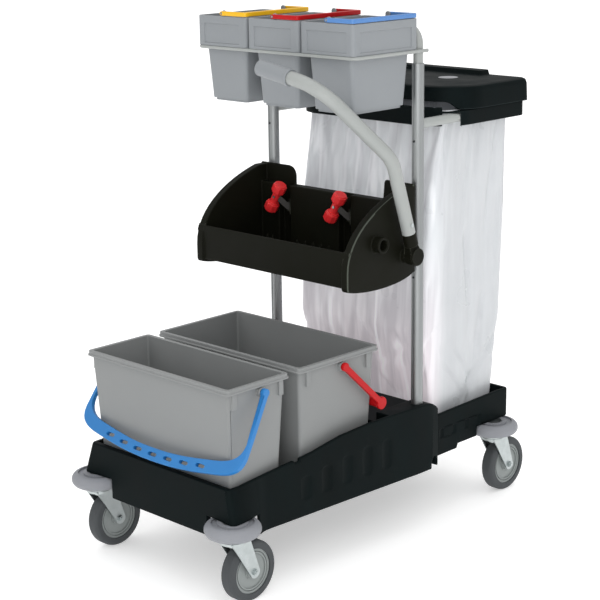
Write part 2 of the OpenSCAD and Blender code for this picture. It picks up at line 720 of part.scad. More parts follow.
module tool_tray() {
  front_y = -tray_front + 5;
  panel_y = tray_back - tray_wall - tray_panel_t;
  inside_x = tray_x - 1;
  color(tray_black) difference() {
    union() {
      for (side = [-1, 1])
        translate([side * (tray_x - tray_side_t / 2), 0, 0]) along_x(tray_side_t) polygon(tray_side());
      // floor, front wall and back wall
      translate([-inside_x, front_y, tray_floor_z]) cube([2 * inside_x, tray_back - front_y, tray_wall]);
      translate([-inside_x, front_y, tray_floor_z - 2])
        cube([2 * inside_x, tray_wall, tray_front_z - tray_floor_z + 2]);
      translate([0, tray_back - tray_wall / 2, 0]) along_y(tray_wall) polygon(tray_back_outline());
      // thick back panels with the strap slots between them
      difference() {
        translate([-inside_x, panel_y, tray_floor_z])
          cube([2 * inside_x, tray_panel_t + 1, tray_back_z - tray_floor_z]);
        for (x = strap_slots) translate([x, panel_y - over, tray_floor_z + tray_wall])
          cube([strap_slot_w, tray_panel_t + over, 300]);
      }
      // fins along the foot of the back panels
      for (x = [-190, -174, -96, -72, -48, -24, 0, 84, 110, 136, 162, 188]) translate([x, 0, 0])
        along_x(3) polygon([[panel_y - 16, tray_floor_z + 1], [panel_y + 1, tray_floor_z + 1],
          [panel_y + 1, tray_floor_z + 34]]);
      // half collars on the inner sides of the posts
      for (side = [-1, 1]) for (z = [tray_floor_z, tray_back_z - 40])
        translate([side * (post_x - 8) - 8, tray_back - 1, z]) cube([16, post_y - tray_back + 1, 40]);
      // boss of the handle's pivot
      translate([inside_x, handle_y, handle_z]) rotate([0, 90, 0])
        cylinder(d = knuckle_d - 3, h = boss_x - touch - inside_x);
      // round socket on the side panel, where the folded handle comes to rest
      translate([inside_x, socket_at[0], socket_at[1]]) rotate([0, 90, 0])
        cylinder(d = socket_d + 12, h = 21);
      // ears at the right edge of the slots, which hold the straps' beads
      for (x = strap_slots) for (z = [strap_w / 2 + touch, -strap_w / 2 - touch - 6])
        translate([x + strap_slot_w - 8, panel_y + 1, strap_root_z + z]) cube([9, 12, 6]);
    }
    for (side = [-1, 1])
      translate([side * post_x, post_y, 0]) cylinder(d = post_seat_d, h = post_top);
    translate([tray_x - handle_bolt_grip, handle_y, handle_z]) rotate([0, 90, 0])
      cylinder(d = handle_bolt_d + 2 * running, h = 60);
    translate([tray_x + 2, socket_at[0], socket_at[1]]) rotate([0, 90, 0]) cylinder(d = socket_d, h = 60);
    for (x = strap_slots) translate([x + strap_slot_w - 3, strap_root_y, strap_root_z])
      cylinder(d = strap_bead_d + 2 * running, h = strap_bead_l + 2, center = true);
  }
}

// Mop straps: a rubber strap with a red toggle, anchored in a slot of the tray's back

strap_root_z = 678;
strap_root_y = tray_back - tray_wall - tray_panel_t + 6;
strap_t = 3;
strap_w = 17;
strap_bead_d = 6;
strap_bead_l = strap_w + 10;
toggle_d = 32;
toggle_l = 70;
toggle_reach = 24;
toggle_rise = 20;
toggle_y = tray_back - tray_wall - tray_panel_t - toggle_d / 2 - 1.5;

// Where a strap's toggle sits
function toggle_at(slot) = [slot + strap_slot_w - 3 - toggle_reach, toggle_y, strap_root_z + toggle_rise];

module strap(slot) {
  root = [slot + strap_slot_w - 3, strap_root_y, strap_root_z];
  tip = toggle_at(slot) + [8, 0, 0];
  run = unit([tip[0] - root[0], tip[1] - root[1], 0]);
  flat = norm([tip[0] - root[0], tip[1] - root[1]]);
  color("#5a5856") difference() {
    union() {
      translate(root) cylinder(d = strap_bead_d, h = strap_bead_l, center = true);
      facing(root, run, [0, 0, 1]) along_strap(flat);
    }
    translate(toggle_at(slot)) rotate([0, 30, 0]) cylinder(d = 18 + 2 * touch, h = 60, center = true);
  }
}

// Strap's side view: it climbs from its bead to the toggle
module along_strap(flat) {
  half = strap_w / 2;
  level = 8;
  translate([0, 0, -strap_t / 2]) linear_extrude(strap_t)
    polygon([[0, -half], [level, -half], [flat, toggle_rise - half], [flat, toggle_rise + half],
      [level, half], [0, half]]);
}

module toggle(slot) {
  knob_h = 22;
  color(red) translate(toggle_at(slot)) rotate([0, 30, 0]) {
    cylinder(d = 18, h = toggle_l - 10, center = true);
    for (side = [-1, 1]) translate([0, 0, side * (toggle_l - knob_h) / 2]) {
      cylinder(d = toggle_d, h = knob_h - 6, center = true, $fn = 8);
      cylinder(d = toggle_d - 6, h = knob_h, center = true);
    }
  }
}

module rivet(slot) {
  color(steel) translate(toggle_at(slot) + [4, -9 - running, 2]) rotate([90, 0, 0]) cylinder(d = 6, h = 1.6);
}

// Handle

module handle_bolt() {
  color(steel) translate([0, handle_y, handle_z]) rotate([0, 90, 0]) {
    translate([0, 0, tray_x - handle_bolt_grip])
      cylinder(d = handle_bolt_d, h = handle_x + 4 - tray_x + handle_bolt_grip);
    translate([0, 0, handle_x + 3 + touch]) cylinder(d = 18, h = 4);
  }
}

module handle_knuckle() {
  thick = 24;
  color(tray_black) difference() {
    union() {
      translate([boss_x, handle_y, handle_z]) rotate([0, 90, 0]) cylinder(d = knuckle_d, h = thick - 4);
      // web between the disc and the round neck
      translate([boss_x + 10, handle_y, handle_z]) rotate([handle_lean, 0, 0]) along_x(17)
        polygon([[-knuckle_d / 2 + 2, 0], [knuckle_d / 2 - 2, 0], [11, 34], [-11, 34]]);
      bar(handle_p0 + 26 * handle_up, handle_p0 + (handle_socket - running) * handle_up, handle_d + 1);
      bar(handle_p0 + (handle_socket - 6) * handle_up, handle_p0 + (handle_socket + 40) * handle_up,
        handle_d - 2 * handle_wall - 2 * touch);
    }
    translate([0, handle_y, handle_z]) rotate([0, 90, 0]) {
      cylinder(d = handle_bolt_d + 2 * running, h = 400);
      translate([0, 0, handle_x + 3]) cylinder(d = 19, h = 60);
    }
    handle_screw_hole();
  }
}

module handle_cap() {
  color("#23252b") translate([boss_x + 20, handle_y, handle_z]) rotate([0, 90, 0])
    cylinder(d = knuckle_d, h = 4);
}

handle_screw_at = handle_p0 + (handle_socket + 20) * handle_up;

module handle_screw_hole() {
  translate(handle_screw_at) rotate([0, 90, 0]) cylinder(d = 5 + 2 * running, h = 60);
}

module handle_tube() {
  color(tube_grey) difference() {
    swept_tube(bent_path([handle_p0 + handle_socket * handle_up, handle_p1, handle_p2, handle_p3],
      handle_bend_r, 8), handle_d, handle_d - 2 * handle_wall);
    handle_screw_hole();
  }
}

module handle_screw() {
  color(steel) translate(handle_screw_at) rotate([0, 90, 0]) {
    translate([0, 0, 1]) cylinder(d = 5, h = handle_d / 2 - 0.5);
    translate([0, 0, handle_d / 2 + running]) cylinder(d = 8, h = 1.4);
  }
}

module handle_grip() {
  run = unit(handle_p3 - handle_p2);
  color(bin_grey) difference() {
    union() {
      bar(handle_p3 - (grip_l - 6) * run, handle_p3 + 6 * run, grip_d);
      bar(handle_p3 - grip_l * run, handle_p3 - (grip_l - 7) * run, grip_d + 2);
    }
    bar(handle_p3 - (grip_l + 1) * run, handle_p3 + running * run, handle_d + 2 * running);
  }
}

// Buckets

module bucket(ys) {
  pivot_y = (ys[0] + ys[1]) / 2 + bail_shift;
  body = [ys[0] + bucket_rim_w, ys[1] - bucket_rim_w];
  low = [body[0] + bucket_draft, body[1] - bucket_draft];
  rim_low = bucket_rim_z - bucket_rim_h;
  rib_in = (ys[1] - ys[0]) * 0.13;
  lip = 2;
  lip_h = 4;
  r = bucket_corner;
  w = bucket_wall;
  color(bucket_grey) difference() {
    union() {
      hull() {
        section(bucket_body_x - bucket_draft, low, r - 3, bucket_floor);
        section(bucket_body_x, body, r - 2, bucket_rim_z - 1);
      }
      // rolled rim with a lip at its foot, hollow below
      difference() {
        union() {
          translate([0, 0, rim_low]) linear_extrude(lip_h) rounded([-bucket_x, ys[0]], [bucket_x, ys[1]], r);
          translate([0, 0, rim_low]) linear_extrude(bucket_rim_h)
            rounded([-bucket_x + lip, ys[0] + lip], [bucket_x - lip, ys[1] - lip], r - lip);
        }
        translate([0, 0, rim_low - over]) linear_extrude(bucket_rim_h - w + over)
          rounded([-bucket_x + lip + w, ys[0] + lip + w], [bucket_x - lip - w, ys[1] - lip - w], r - lip - w);
      }
      // short ribs under the rim, near the corners of the end walls
      for (side = [-1, 1]) for (y = [ys[0] + rib_in, ys[1] - rib_in])
        translate([side * (bucket_body_x + 0.5), y, rim_low - 12]) cube([7, 12, 38], center = true);
      // stepped lug and stud that carry the bail
      for (side = [-1, 1])
        translate([side * (bucket_body_x - 4), pivot_y, bail_pivot_z]) rotate([0, side * 90, 0]) {
          cylinder(d = stud_d + 10, h = bucket_x - bucket_body_x + 4);
          cylinder(d = stud_d, h = bail_gap_x - bucket_body_x + 4 + stud_reach);
        }
    }
    hull() {
      section(bucket_body_x - bucket_draft - w, [low[0] + w, low[1] - w], r - 3 - w, bucket_floor + w + 1);
      section(bucket_body_x - w, [body[0] + w, body[1] - w], r - 2 - w, bucket_rim_z + over);
    }
  }
}

module front_bucket() {
  bucket(front_bucket_y);
}

module rear_bucket() {
  bucket(rear_bucket_y);
}

// Half of the front bail seen square on: a bowed grip that sweeps up into the arms.
// The inner edge stands in by the widths of the grip and of the arm.
function front_bail_half(grip_in, arm_in) = let (
    bow = bail_gap_x + 26.5 - arm_in,
    foot = -front_bail_reach - front_grip_w / 2 + grip_in,
    sag = [150 - arm_in, foot + 11.5])
  concat(
    curve([0, foot], [60, foot], [sag[0] - 50, sag[1] - 7.5], sag, 8),
    curve(sag, sag + [45, 7], [bow, foot + 21], [bow, foot + 62], 10),
    [[bow - 5, -78], [bail_gap_x + front_arm_w - arm_in, 0]]);

// The holes of a bail stop short of its outer faces
module bail_bore() {
  reach = bail_gap_x + stud_reach + touch;
  rotate([0, 90, 0]) cylinder(d = stud_d + 2 * running, h = 2 * reach, center = true);
}

module front_bail() {
  color(blue) translate([0, front_pivot_y, bail_pivot_z]) rotate([90 - front_bail_lean, 0, 0]) difference() {
    union() {
      translate([0, 0, -front_bail_t / 2]) linear_extrude(front_bail_t) difference() {
        polygon(both_sides(front_bail_half(0, 0)));
        polygon(both_sides(front_bail_half(front_grip_w, front_arm_w)));
        // oval slots along the grip
        for (i = [-3:3]) translate([i * front_slot_pitch, -front_bail_reach + 1.1 * i * i]) {
          square([10, 9], center = true);
          for (end = [-5, 5]) translate([end, 0]) circle(d = 9);
        }
      }
      for (side = [-1, 1]) translate([side * bail_gap_x, 0, 0]) rotate([0, side * 90, 0])
        cylinder(d = stud_d + 7, h = front_arm_w);
    }
    bail_bore();
  }
}

module rear_bail() {
  arm_x = bail_gap_x + rear_arm_w / 2;
  color(red) translate([0, rear_pivot_y, bail_pivot_z]) rotate([90 + rear_bail_lean, 0, 0]) difference() {
    union() {
      for (side = [-1, 1]) translate([side * arm_x, 0, 0]) rotate([0, 90, 0]) {
        cylinder(d = stud_d + 8, h = rear_arm_w, center = true);
        translate([0, -rear_bail_reach, 0]) cylinder(d = rear_grip_d + 5, h = rear_arm_w, center = true);
        translate([-rear_arm_t / 2, -rear_bail_reach, -rear_arm_w / 2])
          cube([rear_arm_t, rear_bail_reach, rear_arm_w]);
      }
      translate([0, -rear_bail_reach, 0]) rotate([0, 90, 0])
        cylinder(d = rear_grip_d, h = 2 * arm_x, center = true);
    }
    bail_bore();
  }
}

// Bins

module bin(x) {
  half = bin_w / 2;
  foot = 5;
  low_x = half - bin_step - 2;
  low_y = [bin_ys[0] + bin_step, bin_ys[1] - bin_step];
  d = bin_draft;
  w = bin_wall;
  panel_low = bin_collar_z + 6;
  panel_h = bin_rim_z - 16 - panel_low;
  color(bin_grey) translate([x, 0, 0]) difference() {
    union() {
      translate([0, 0, bin_collar_z]) linear_extrude(bin_rim_z - bin_collar_z)
        rounded([-half, bin_ys[0]], [half, bin_ys[1]], 9);
      hull() {
        section(low_x, low_y, 10, bin_collar_z);
        section(low_x - d, [low_y[0] + d, low_y[1] - d], 8, bin_floor_z + foot);
      }
      translate([0, 0, bin_floor_z]) linear_extrude(foot + 1)
        rounded([-low_x + d + 4, low_y[0] + d + 4], [low_x - d - 4, low_y[1] - d - 4], 8);
    }
    // inside: a wide collar above the step, a drawn body below
    translate([0, 0, bin_collar_z + w]) linear_extrude(bin_rim_z)
      rounded([-half + w + 2, bin_ys[0] + w + 2], [half - w - 2, bin_ys[1] - w - 2], 6);
    hull() {
      section(low_x - w, [low_y[0] + w, low_y[1] - w], 10 - w, bin_collar_z + w + 0.5);
      section(low_x - d - w, [low_y[0] + d + w, low_y[1] - d - w], 8 - w, bin_floor_z + foot + w);
    }
    // recessed panels between the corner ribs
    for (end = [0, 1]) translate([-half + 20, end == 0 ? bin_ys[0] - over : bin_ys[1] - 2, panel_low])
      cube([bin_w - 40, 2 + over, panel_h]);
    for (side = [-1, 1]) translate([side < 0 ? -half - over : half - 2, bin_ys[0] + 20, panel_low])
      cube([2 + over, bin_ys[1] - bin_ys[0] - 40, panel_h]);
  }
  color(bin_grey) for (end = [0, 1]) translate([x, bin_ys[end], 0]) mirror([0, end, 0]) bin_lug();
}

// Shelf inside the rim with an upright lug, whose pin points outwards and carries the bail
module bin_lug() {
  lug_w = bin_bail_t + 3;
  lug_y = bin_bail_w + touch;
  translate([-lug_w / 2, 1, bin_rim_z - 8]) cube([lug_w, lug_y + bin_lug_t - 1, 8]);
  translate([-lug_w / 2, lug_y, bin_rim_z - 8]) cube([lug_w, bin_lug_t, bin_pin_z - bin_rim_z + 8]);
  translate([0, lug_y + bin_lug_t, bin_pin_z]) rotate([90, 0, 0]) {
    cylinder(d = lug_w, h = bin_lug_t);
    cylinder(d = bin_pin_d, h = bin_lug_t + lug_y);
  }
}

// Flat bail that lies on the right half of the rim and turns over on the pins
module bin_bail(x, shade) {
  outer = bin_w / 2 - 1;
  inner = outer - bin_bail_w - 4;
  length = bin_back + bin_front;
  color(shade) translate([x, 0, bin_pin_z]) difference() {
    union() {
      translate([0, 0, -bin_bail_t / 2]) linear_extrude(bin_bail_t) difference() {
        translate([0, bin_ys[0]]) square([outer, length]);
        translate([-over, bin_ys[0] + bin_bail_w]) square([inner + over, length - 2 * bin_bail_w]);
        for (end = [0, 1]) translate([outer, bin_ys[end]]) difference() {
          square(16, center = true);
          translate([-8, end == 0 ? 8 : -8]) circle(8);
        }
      }
      for (end = [0, 1]) translate([0, end == 0 ? bin_ys[0] : bin_ys[1] - bin_bail_w, 0]) rotate([-90, 0, 0])
        cylinder(d = bin_bail_t, h = bin_bail_w);
    }
    rotate([90, 0, 0]) cylinder(d = bin_pin_d + 2 * running, h = 600, center = true);
  }
}

// Waste bag holder

// Two tubes reach back from the posts and carry the ring
module bag_arms() {
  rear = ring_y[1] - 24;
  for (side = [-1, 1]) color(tube_grey) difference() {
    bar([side * post_x, post_y, bag_arm_z], [side * post_x, rear, bag_arm_z], tube_d, tube_d - 3);
    translate([side * post_x, post_y, 0]) cylinder(d = post_seat_d, h = post_top);
  }
}

// Half of the ring's outline, drawn in by t: wide front corners, tight rear ones
function ring_half(t) = concat(
  [[0, ring_y[0] + t]],
  arc([ring_x - ring_front_r, ring_y[0] + ring_front_r], ring_front_r - t, -90, 0, 18),
  arc([ring_x - ring_corner, ring_y[1] - ring_corner], ring_corner - t, 0, 90, 8),
  [[0, ring_y[1] - t]]);

// Moulded ring on the bag arms: a flange, a skirt round the back and sides, a band in front
module bag_ring() {
  skirt_front = ring_y[0] + 67;
  band_x = post_x - tube_d / 2 - 4;
  tube_side = post_x + tube_d / 2 + touch;
  bottom = ring_top - ring_depth;
  lug_off = (hinge_arm_w + hinge_lug_w) / 2 + touch;
  color(black) difference() {
    union() {
      translate([0, 0, ring_top - ring_flange_t]) linear_extrude(ring_flange_t)
        polygon(both_sides(ring_half(0)));
      difference() {
        translate([0, 0, bottom]) linear_extrude(ring_depth) polygon(both_sides(ring_half(0)));
        translate([0, 0, bottom - over]) linear_extrude(ring_depth + 2 * over)
          rounded([-tube_side, ring_y[0] - 60], [tube_side, ring_y[1] - 5.5], ring_corner - 5);
        // the sides are cut back in a curve to let the frame tubes in
        along_x(600) difference() {
          translate([0, bottom - over]) square([skirt_front, ring_depth - ring_flange_t + over]);
          translate([skirt_front, ring_top - ring_flange_t]) circle(30);
        }
      }
      // band round the front between the tubes, standing up under the lid's front edge
      translate([0, 0, bottom]) linear_extrude(ring_depth + ring_rise) intersection() {
        difference() {
          polygon(both_sides(ring_half(0)));
          polygon(both_sides(ring_half(4)));
        }
        translate([-band_x, 0]) square([2 * band_x, ring_y[0] + 40]);
      }
      // lugs of the lid's hinge
      for (side = [-1, 1]) for (off = [-1, 1])
        translate([side * hinge_x + off * lug_off, 0, 0]) along_x(hinge_lug_w) {
          polygon([[hinge_y - hinge_r, ring_top - 1], [hinge_y + hinge_r, ring_top - 1],
            [hinge_y + hinge_r, hinge_z], [hinge_y - hinge_r, hinge_z]]);
          translate([hinge_y, hinge_z]) circle(hinge_r);
        }
    }
    translate([0, 0, bottom - 5]) linear_extrude(100)
      rounded([-mouth_x, mouth_y[0]], [mouth_x, mouth_y[1]], 20);
    translate([0, hinge_y, hinge_z]) rotate([0, 90, 0])
      cylinder(d = lid_pin_d + 2 * running, h = 600, center = true);
  }
}

module lid_pins() {
  reach = hinge_arm_w + 2 * hinge_lug_w + 8;
  for (side = [-1, 1])
    color(steel) translate([side * hinge_x, hinge_y, hinge_z]) rotate([0, 90, 0])
      cylinder(d = lid_pin_d, h = reach, center = true);
}

// Half of the lid's outline, drawn in by t: wide front corners, tight rear ones
function lid_half(t) = concat(
  [[0, lid_y[0] + t]],
  arc([lid_x - 97, lid_y[0] + 97], 97 - t, -90, 0, 10),
  arc([lid_x - 20, lid_y[1] - 20], 20 - t, 0, 90, 6),
  [[0, lid_y[1] - t]]);

module lid_section(t, z) {
  translate([0, 0, z]) linear_extrude(0.1) polygon(both_sides(lid_half(t)));
}

module lid() {
  top = lid_z + lid_h;
  w = lid_wall;
  color(black) difference() {
    union() {
      difference() {
        hull() {
          lid_section(0, lid_z);
          lid_section(1.5, top - 12);
          lid_section(5, top - 3);
          lid_section(12, top - 0.1);
        }
        hull() {
          lid_section(w, lid_z - over);
          lid_section(w + 1.5, top - 12);
          lid_section(w + 8, top - w);
        }
        // the front edge is higher than the sides and runs down into them round the corners
        along_x(600) polygon(concat([[lid_y[0] - 10, lid_z - 2 * over], [lid_y[0] - 10, lid_z + 16]],
          curve([lid_y[0] + 16, lid_z + 16], [lid_y[0] + 31, lid_z + 16],
            [lid_y[0] + 29, lid_z + 1], [lid_y[0] + 44, lid_z - 2 * over])));
      }
      // raised lip along the rear edge, to lift the lid by
      hull() for (x = [-120, 120]) for (y = [lid_y[1] - 12, lid_y[1] - 34])
        translate([x, y, top - 3]) cylinder(r1 = 8, r2 = 4, h = 13, $fn = hull_fn);
      // hinge arms
      for (side = [-1, 1]) translate([side * hinge_x, 0, 0]) along_x(hinge_arm_w) {
        polygon([[hinge_y, hinge_z - hinge_r], [lid_y[0] + 2, lid_z + 16.5],
          [lid_y[0] + 2, top - 14], [hinge_y, hinge_z + hinge_r]]);
        translate([hinge_y, hinge_z]) circle(hinge_r);
      }
    }
    translate([0, hinge_y, hinge_z]) rotate([0, 90, 0])
      cylinder(d = lid_pin_d + 2 * running, h = 600, center = true);
    translate([95, 350, top - 1.5]) cylinder(d = 43 + 2 * running, h = 5);
  }
}

module lid_disc() {
  color(buffer_grey) translate([95, 350, lid_z + lid_h - 1.5]) cylinder(d = 43, h = 2);
}

// Bag of film: its body hangs from the ring's mouth, swells to its waist and stands on the platform
module bag_body(t) {
  top_x = mouth_x - 2 - t;
  waist_r = 40;
  hull() {
    section(top_x, [mouth_y[0] + 2 + t, mouth_y[1] - 2 - t], neck_r, bag_top_z - t);
    section(bag_waist_x - t, [bag_waist_y[0] + t, bag_waist_y[1] - t], waist_r, bag_waist_z);
  }
  hull() {
    section(bag_waist_x - t, [bag_waist_y[0] + t, bag_waist_y[1] - t], waist_r, bag_waist_z);
    section(bag_floor_x - t, [bag_floor_y[0] + t, bag_floor_y[1] - t], 36, floor_z + touch + t);
  }
}

// Upright stretch of film in the mouth, drawn in by t
module bag_throat(t, z, h) {
  translate([0, 0, z]) linear_extrude(h)
    rounded([-mouth_x + t, mouth_y[0] + t], [mouth_x - t, mouth_y[1] - t], neck_r);
}

// The mouth comes up through the ring, where its cuff lies on the flange
module waste_bag() {
  neck_z = bag_top_z + touch;
  low = [-mouth_x + 1, mouth_y[0] + 1];
  high = [mouth_x - 1, mouth_y[1] - 1];
  color(film_white) difference() {
    union() {
      bag_body(0);
      bag_throat(3.5, bag_top_z - 9, 12);
      bag_throat(1, neck_z, ring_top + bag_t - neck_z);
      translate([0, 0, ring_top]) linear_extrude(bag_t)
        rounded(low - [16, 0], high + [16, 6], 24);
    }
    bag_body(bag_t);
    bag_throat(3.5 + bag_t, bag_top_z - 14, 30);
    bag_throat(1 + bag_t, neck_z + bag_t, 30);
  }
}

base_moulding();
bag_platform();
castor_heads();
castor_buffers();
left_post();
right_post();
top_frame();
bin_carrier();
post_screws();
tool_tray();
handle_bolt();
bag_arms();
bag_ring();
waste_bag();
lid_pins();
lid();
lid_disc();
handle_knuckle();
handle_cap();
handle_tube();
handle_grip();
handle_screw();
front_bucket();
front_bail();
rear_bucket();
rear_bail();
bin(-bin_pitch);  // left_bin
bin(0);  // middle_bin
bin(bin_pitch);  // right_bin
bin_bail(-bin_pitch, yellow);  // left_bin_bail
bin_bail(0, red);  // middle_bin_bail
bin_bail(bin_pitch, light_blue);  // right_bin_bail
strap(strap_slots[0]);  // left_strap
toggle(strap_slots[0]);  // left_toggle
rivet(strap_slots[0]);  // left_rivet
strap(strap_slots[1]);  // right_strap
toggle(strap_slots[1]);  // right_toggle
rivet(strap_slots[1]);  // right_rivet
translate(front_left) fork();  // front_left_fork
translate(front_left) axle();  // front_left_axle
translate(front_left) sleeve();  // front_left_sleeve
translate(front_left) hub();  // front_left_hub
translate(front_left) tyre();  // front_left_tyre
translate(front_right) fork();  // front_right_fork
translate(front_right) axle();  // front_right_axle
translate(front_right) sleeve();  // front_right_sleeve
translate(front_right) hub();  // front_right_hub
translate(front_right) tyre();  // front_right_tyre
translate(rear_left) fork();  // rear_left_fork
translate(rear_left) axle();  // rear_left_axle
translate(rear_left) sleeve();  // rear_left_sleeve
translate(rear_left) hub();  // rear_left_hub
translate(rear_left) tyre();  // rear_left_tyre
translate(rear_right) fork();  // rear_right_fork
translate(rear_right) axle();  // rear_right_axle
translate(rear_right) sleeve();  // rear_right_sleeve
translate(rear_right) hub();  // rear_right_hub
translate(rear_right) tyre();  // rear_right_tyre
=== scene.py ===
# %% [markdown]
# # A janitor cart in the studio
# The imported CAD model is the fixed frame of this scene: every tube, wheel and moulding already sits in its
# true place, in metres, with z up. This lesson dresses that frame. Mouldings get rounded edges, the plastic
# bag becomes a thin sagging shell, and every surface gets a procedural material.

import json
import math
import random

import bmesh
import bpy
from mathutils import Matrix, Vector, noise


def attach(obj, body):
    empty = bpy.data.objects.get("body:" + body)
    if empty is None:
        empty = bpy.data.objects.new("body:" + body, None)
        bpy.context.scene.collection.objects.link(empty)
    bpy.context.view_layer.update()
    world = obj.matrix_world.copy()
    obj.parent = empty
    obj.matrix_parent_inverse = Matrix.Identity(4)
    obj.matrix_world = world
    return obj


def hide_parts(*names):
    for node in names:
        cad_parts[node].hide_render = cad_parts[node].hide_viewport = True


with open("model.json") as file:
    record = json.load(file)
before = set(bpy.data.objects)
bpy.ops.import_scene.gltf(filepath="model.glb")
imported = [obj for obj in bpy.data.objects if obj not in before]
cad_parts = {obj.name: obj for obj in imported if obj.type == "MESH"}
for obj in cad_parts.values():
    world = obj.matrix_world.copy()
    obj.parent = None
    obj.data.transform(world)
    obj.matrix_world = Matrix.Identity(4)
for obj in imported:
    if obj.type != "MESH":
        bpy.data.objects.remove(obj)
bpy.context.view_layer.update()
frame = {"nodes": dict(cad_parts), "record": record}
nodes = frame["nodes"]
scene = bpy.context.scene

# %% [markdown]
# ## Camera
# The photograph was matched with a pinhole camera. Its place, its turn and its focal length are written
# here as numbers, so that the render lines up with the photograph. The camera stands in front of the bucket
# end, to the right, and looks a little down.

# %% Camera
CAMERA_AT = Vector((2.3297, -2.3905, 1.3610))
CAMERA_AZIMUTH = math.radians(44.584)
CAMERA_PITCH = math.radians(14.498)
CAMERA_ROLL = math.radians(-0.853)
FOCAL_PX, IMAGE_PX, SENSOR_MM = 1600.72, 600, 36.0

back = Vector((math.sin(CAMERA_AZIMUTH) * math.cos(CAMERA_PITCH),
               -math.cos(CAMERA_AZIMUTH) * math.cos(CAMERA_PITCH), math.sin(CAMERA_PITCH)))
level = Vector((math.cos(CAMERA_AZIMUTH), math.sin(CAMERA_AZIMUTH), 0))
upright = back.cross(level)
right = level * math.cos(CAMERA_ROLL) + upright * math.sin(CAMERA_ROLL)
up = upright * math.cos(CAMERA_ROLL) - level * math.sin(CAMERA_ROLL)
camera = bpy.data.objects.new("camera", bpy.data.cameras.new("camera"))
scene.collection.objects.link(camera)
camera.matrix_world = Matrix.Translation(CAMERA_AT) @ Matrix((right, up, back)).transposed().to_4x4()
camera.data.sensor_width = SENSOR_MM
camera.data.lens = FOCAL_PX / IMAGE_PX * SENSOR_MM
scene.camera = camera
print("lens:", round(camera.data.lens, 2), "mm")

# %% [markdown]
# ## Studio
# The photograph shows the cart on plain white with soft light from all sides. A pale floor, a sky that is
# brightest overhead and five large soft lamps give the same. The lamps are big compared with the cart, so
# the edges of their shadows are wide and faint. The front lamp stands near the camera and lights what the
# camera sees, and the edge lamp stands behind the cart and puts a thin sheen on its dark sides.

# %% Colour and node helpers
def linear(hex_colour):
    """An sRGB hex colour as linear RGBA, which is what shader sockets take."""
    channels = [int(hex_colour[i:i + 2], 16) / 255 for i in (1, 3, 5)]
    return [c / 12.92 if c <= 0.04045 else ((c + 0.055) / 1.055) ** 2.4 for c in channels] + [1.0]


def put(tree, kind, inputs=(), **settings):
    """Adds a node, sets its properties, and fills or links its inputs."""
    made = tree.nodes.new(kind)
    for name, value in settings.items():
        setattr(made, name, value)
    for name, value in dict(inputs).items():
        if isinstance(value, bpy.types.NodeSocket):
            tree.links.new(value, made.inputs[name])
        else:
            made.inputs[name].default_value = value
    return made


print("middle grey in linear light:", round(linear("#808080")[0], 3))

# %% Sky and lamps
scene.view_settings.view_transform = "Standard"
world = bpy.data.worlds.new("studio")
world.use_nodes = True
scene.world = world
tree = world.node_tree
tree.nodes.clear()
aim = put(tree, "ShaderNodeTexCoord")
rise = put(tree, "ShaderNodeSeparateXYZ", {"Vector": aim.outputs["Generated"]})
SKY_AT_HORIZON, SKY_OVERHEAD = 0.26, 1.08
SKY_FULL_AT = 0.6  # sine of the height above which the sky is brightest
overhead = put(tree, "ShaderNodeMapRange", {
    "Value": rise.outputs["Z"], "From Min": 0.0, "From Max": SKY_FULL_AT,
    "To Min": SKY_AT_HORIZON, "To Max": SKY_OVERHEAD})
sky = put(tree, "ShaderNodeBackground", {
    "Color": linear("#FFFFFF"), "Strength": overhead.outputs["Result"]})
put(tree, "ShaderNodeOutputWorld", {"Surface": sky.outputs["Background"]})

CART_MIDDLE = Vector((0, 0, 0.5))
LAMPS = (  # name, place, diameter in metres, power in watts
    ("front_lamp", (2.0, -2.4, 1.0), 1.6, 18),
    ("key_lamp", (-1.2, -2.6, 2.6), 1.8, 2),
    ("side_lamp", (1.5, -0.9, 1.5), 0.6, 2.5),
    ("edge_lamp", (1.9, 1.7, 0.7), 1.2, 1.5),
    ("top_lamp", (0.2, 0.2, 3.2), 2.2, 7))
for name, place, size, power in LAMPS:
    lamp = bpy.data.objects.new(name, bpy.data.lights.new(name, "AREA"))
    lamp.data.shape = "DISK"
    lamp.data.size = size
    lamp.data.energy = power
    lamp.location = place
    lamp.rotation_euler = (CART_MIDDLE - lamp.location).to_track_quat("-Z", "Y").to_euler()
    scene.collection.objects.link(lamp)
    print(name, power, "W")

# %% [markdown]
# ## Materials
# Each finish starts from what the real surface is. Moulded polypropylene has a soft sheen and a fine grain
# from the mould. Zinc plate and anodised aluminium are metals with fine lines along the part. Powder coat
# has a faint orange peel. All of them share one recipe: a broad noise that shifts colour and roughness a
# little, and a fine noise that raises a bump. The sizes are given in millimetres and turned into noise
# scales, because noise repeats about once per unit of scale and the scene is in metres.

# %% The shared recipe
MM_PER_M = 1000
HIGHLIGHT_EDGE = 0.004
HIGHLIGHT_STARTS, HIGHLIGHT_FULL = 0.97, 0.7  # cosines of the angle between the two normals
HIGHLIGHT_SHARE = 0.75
FINISHES = {}


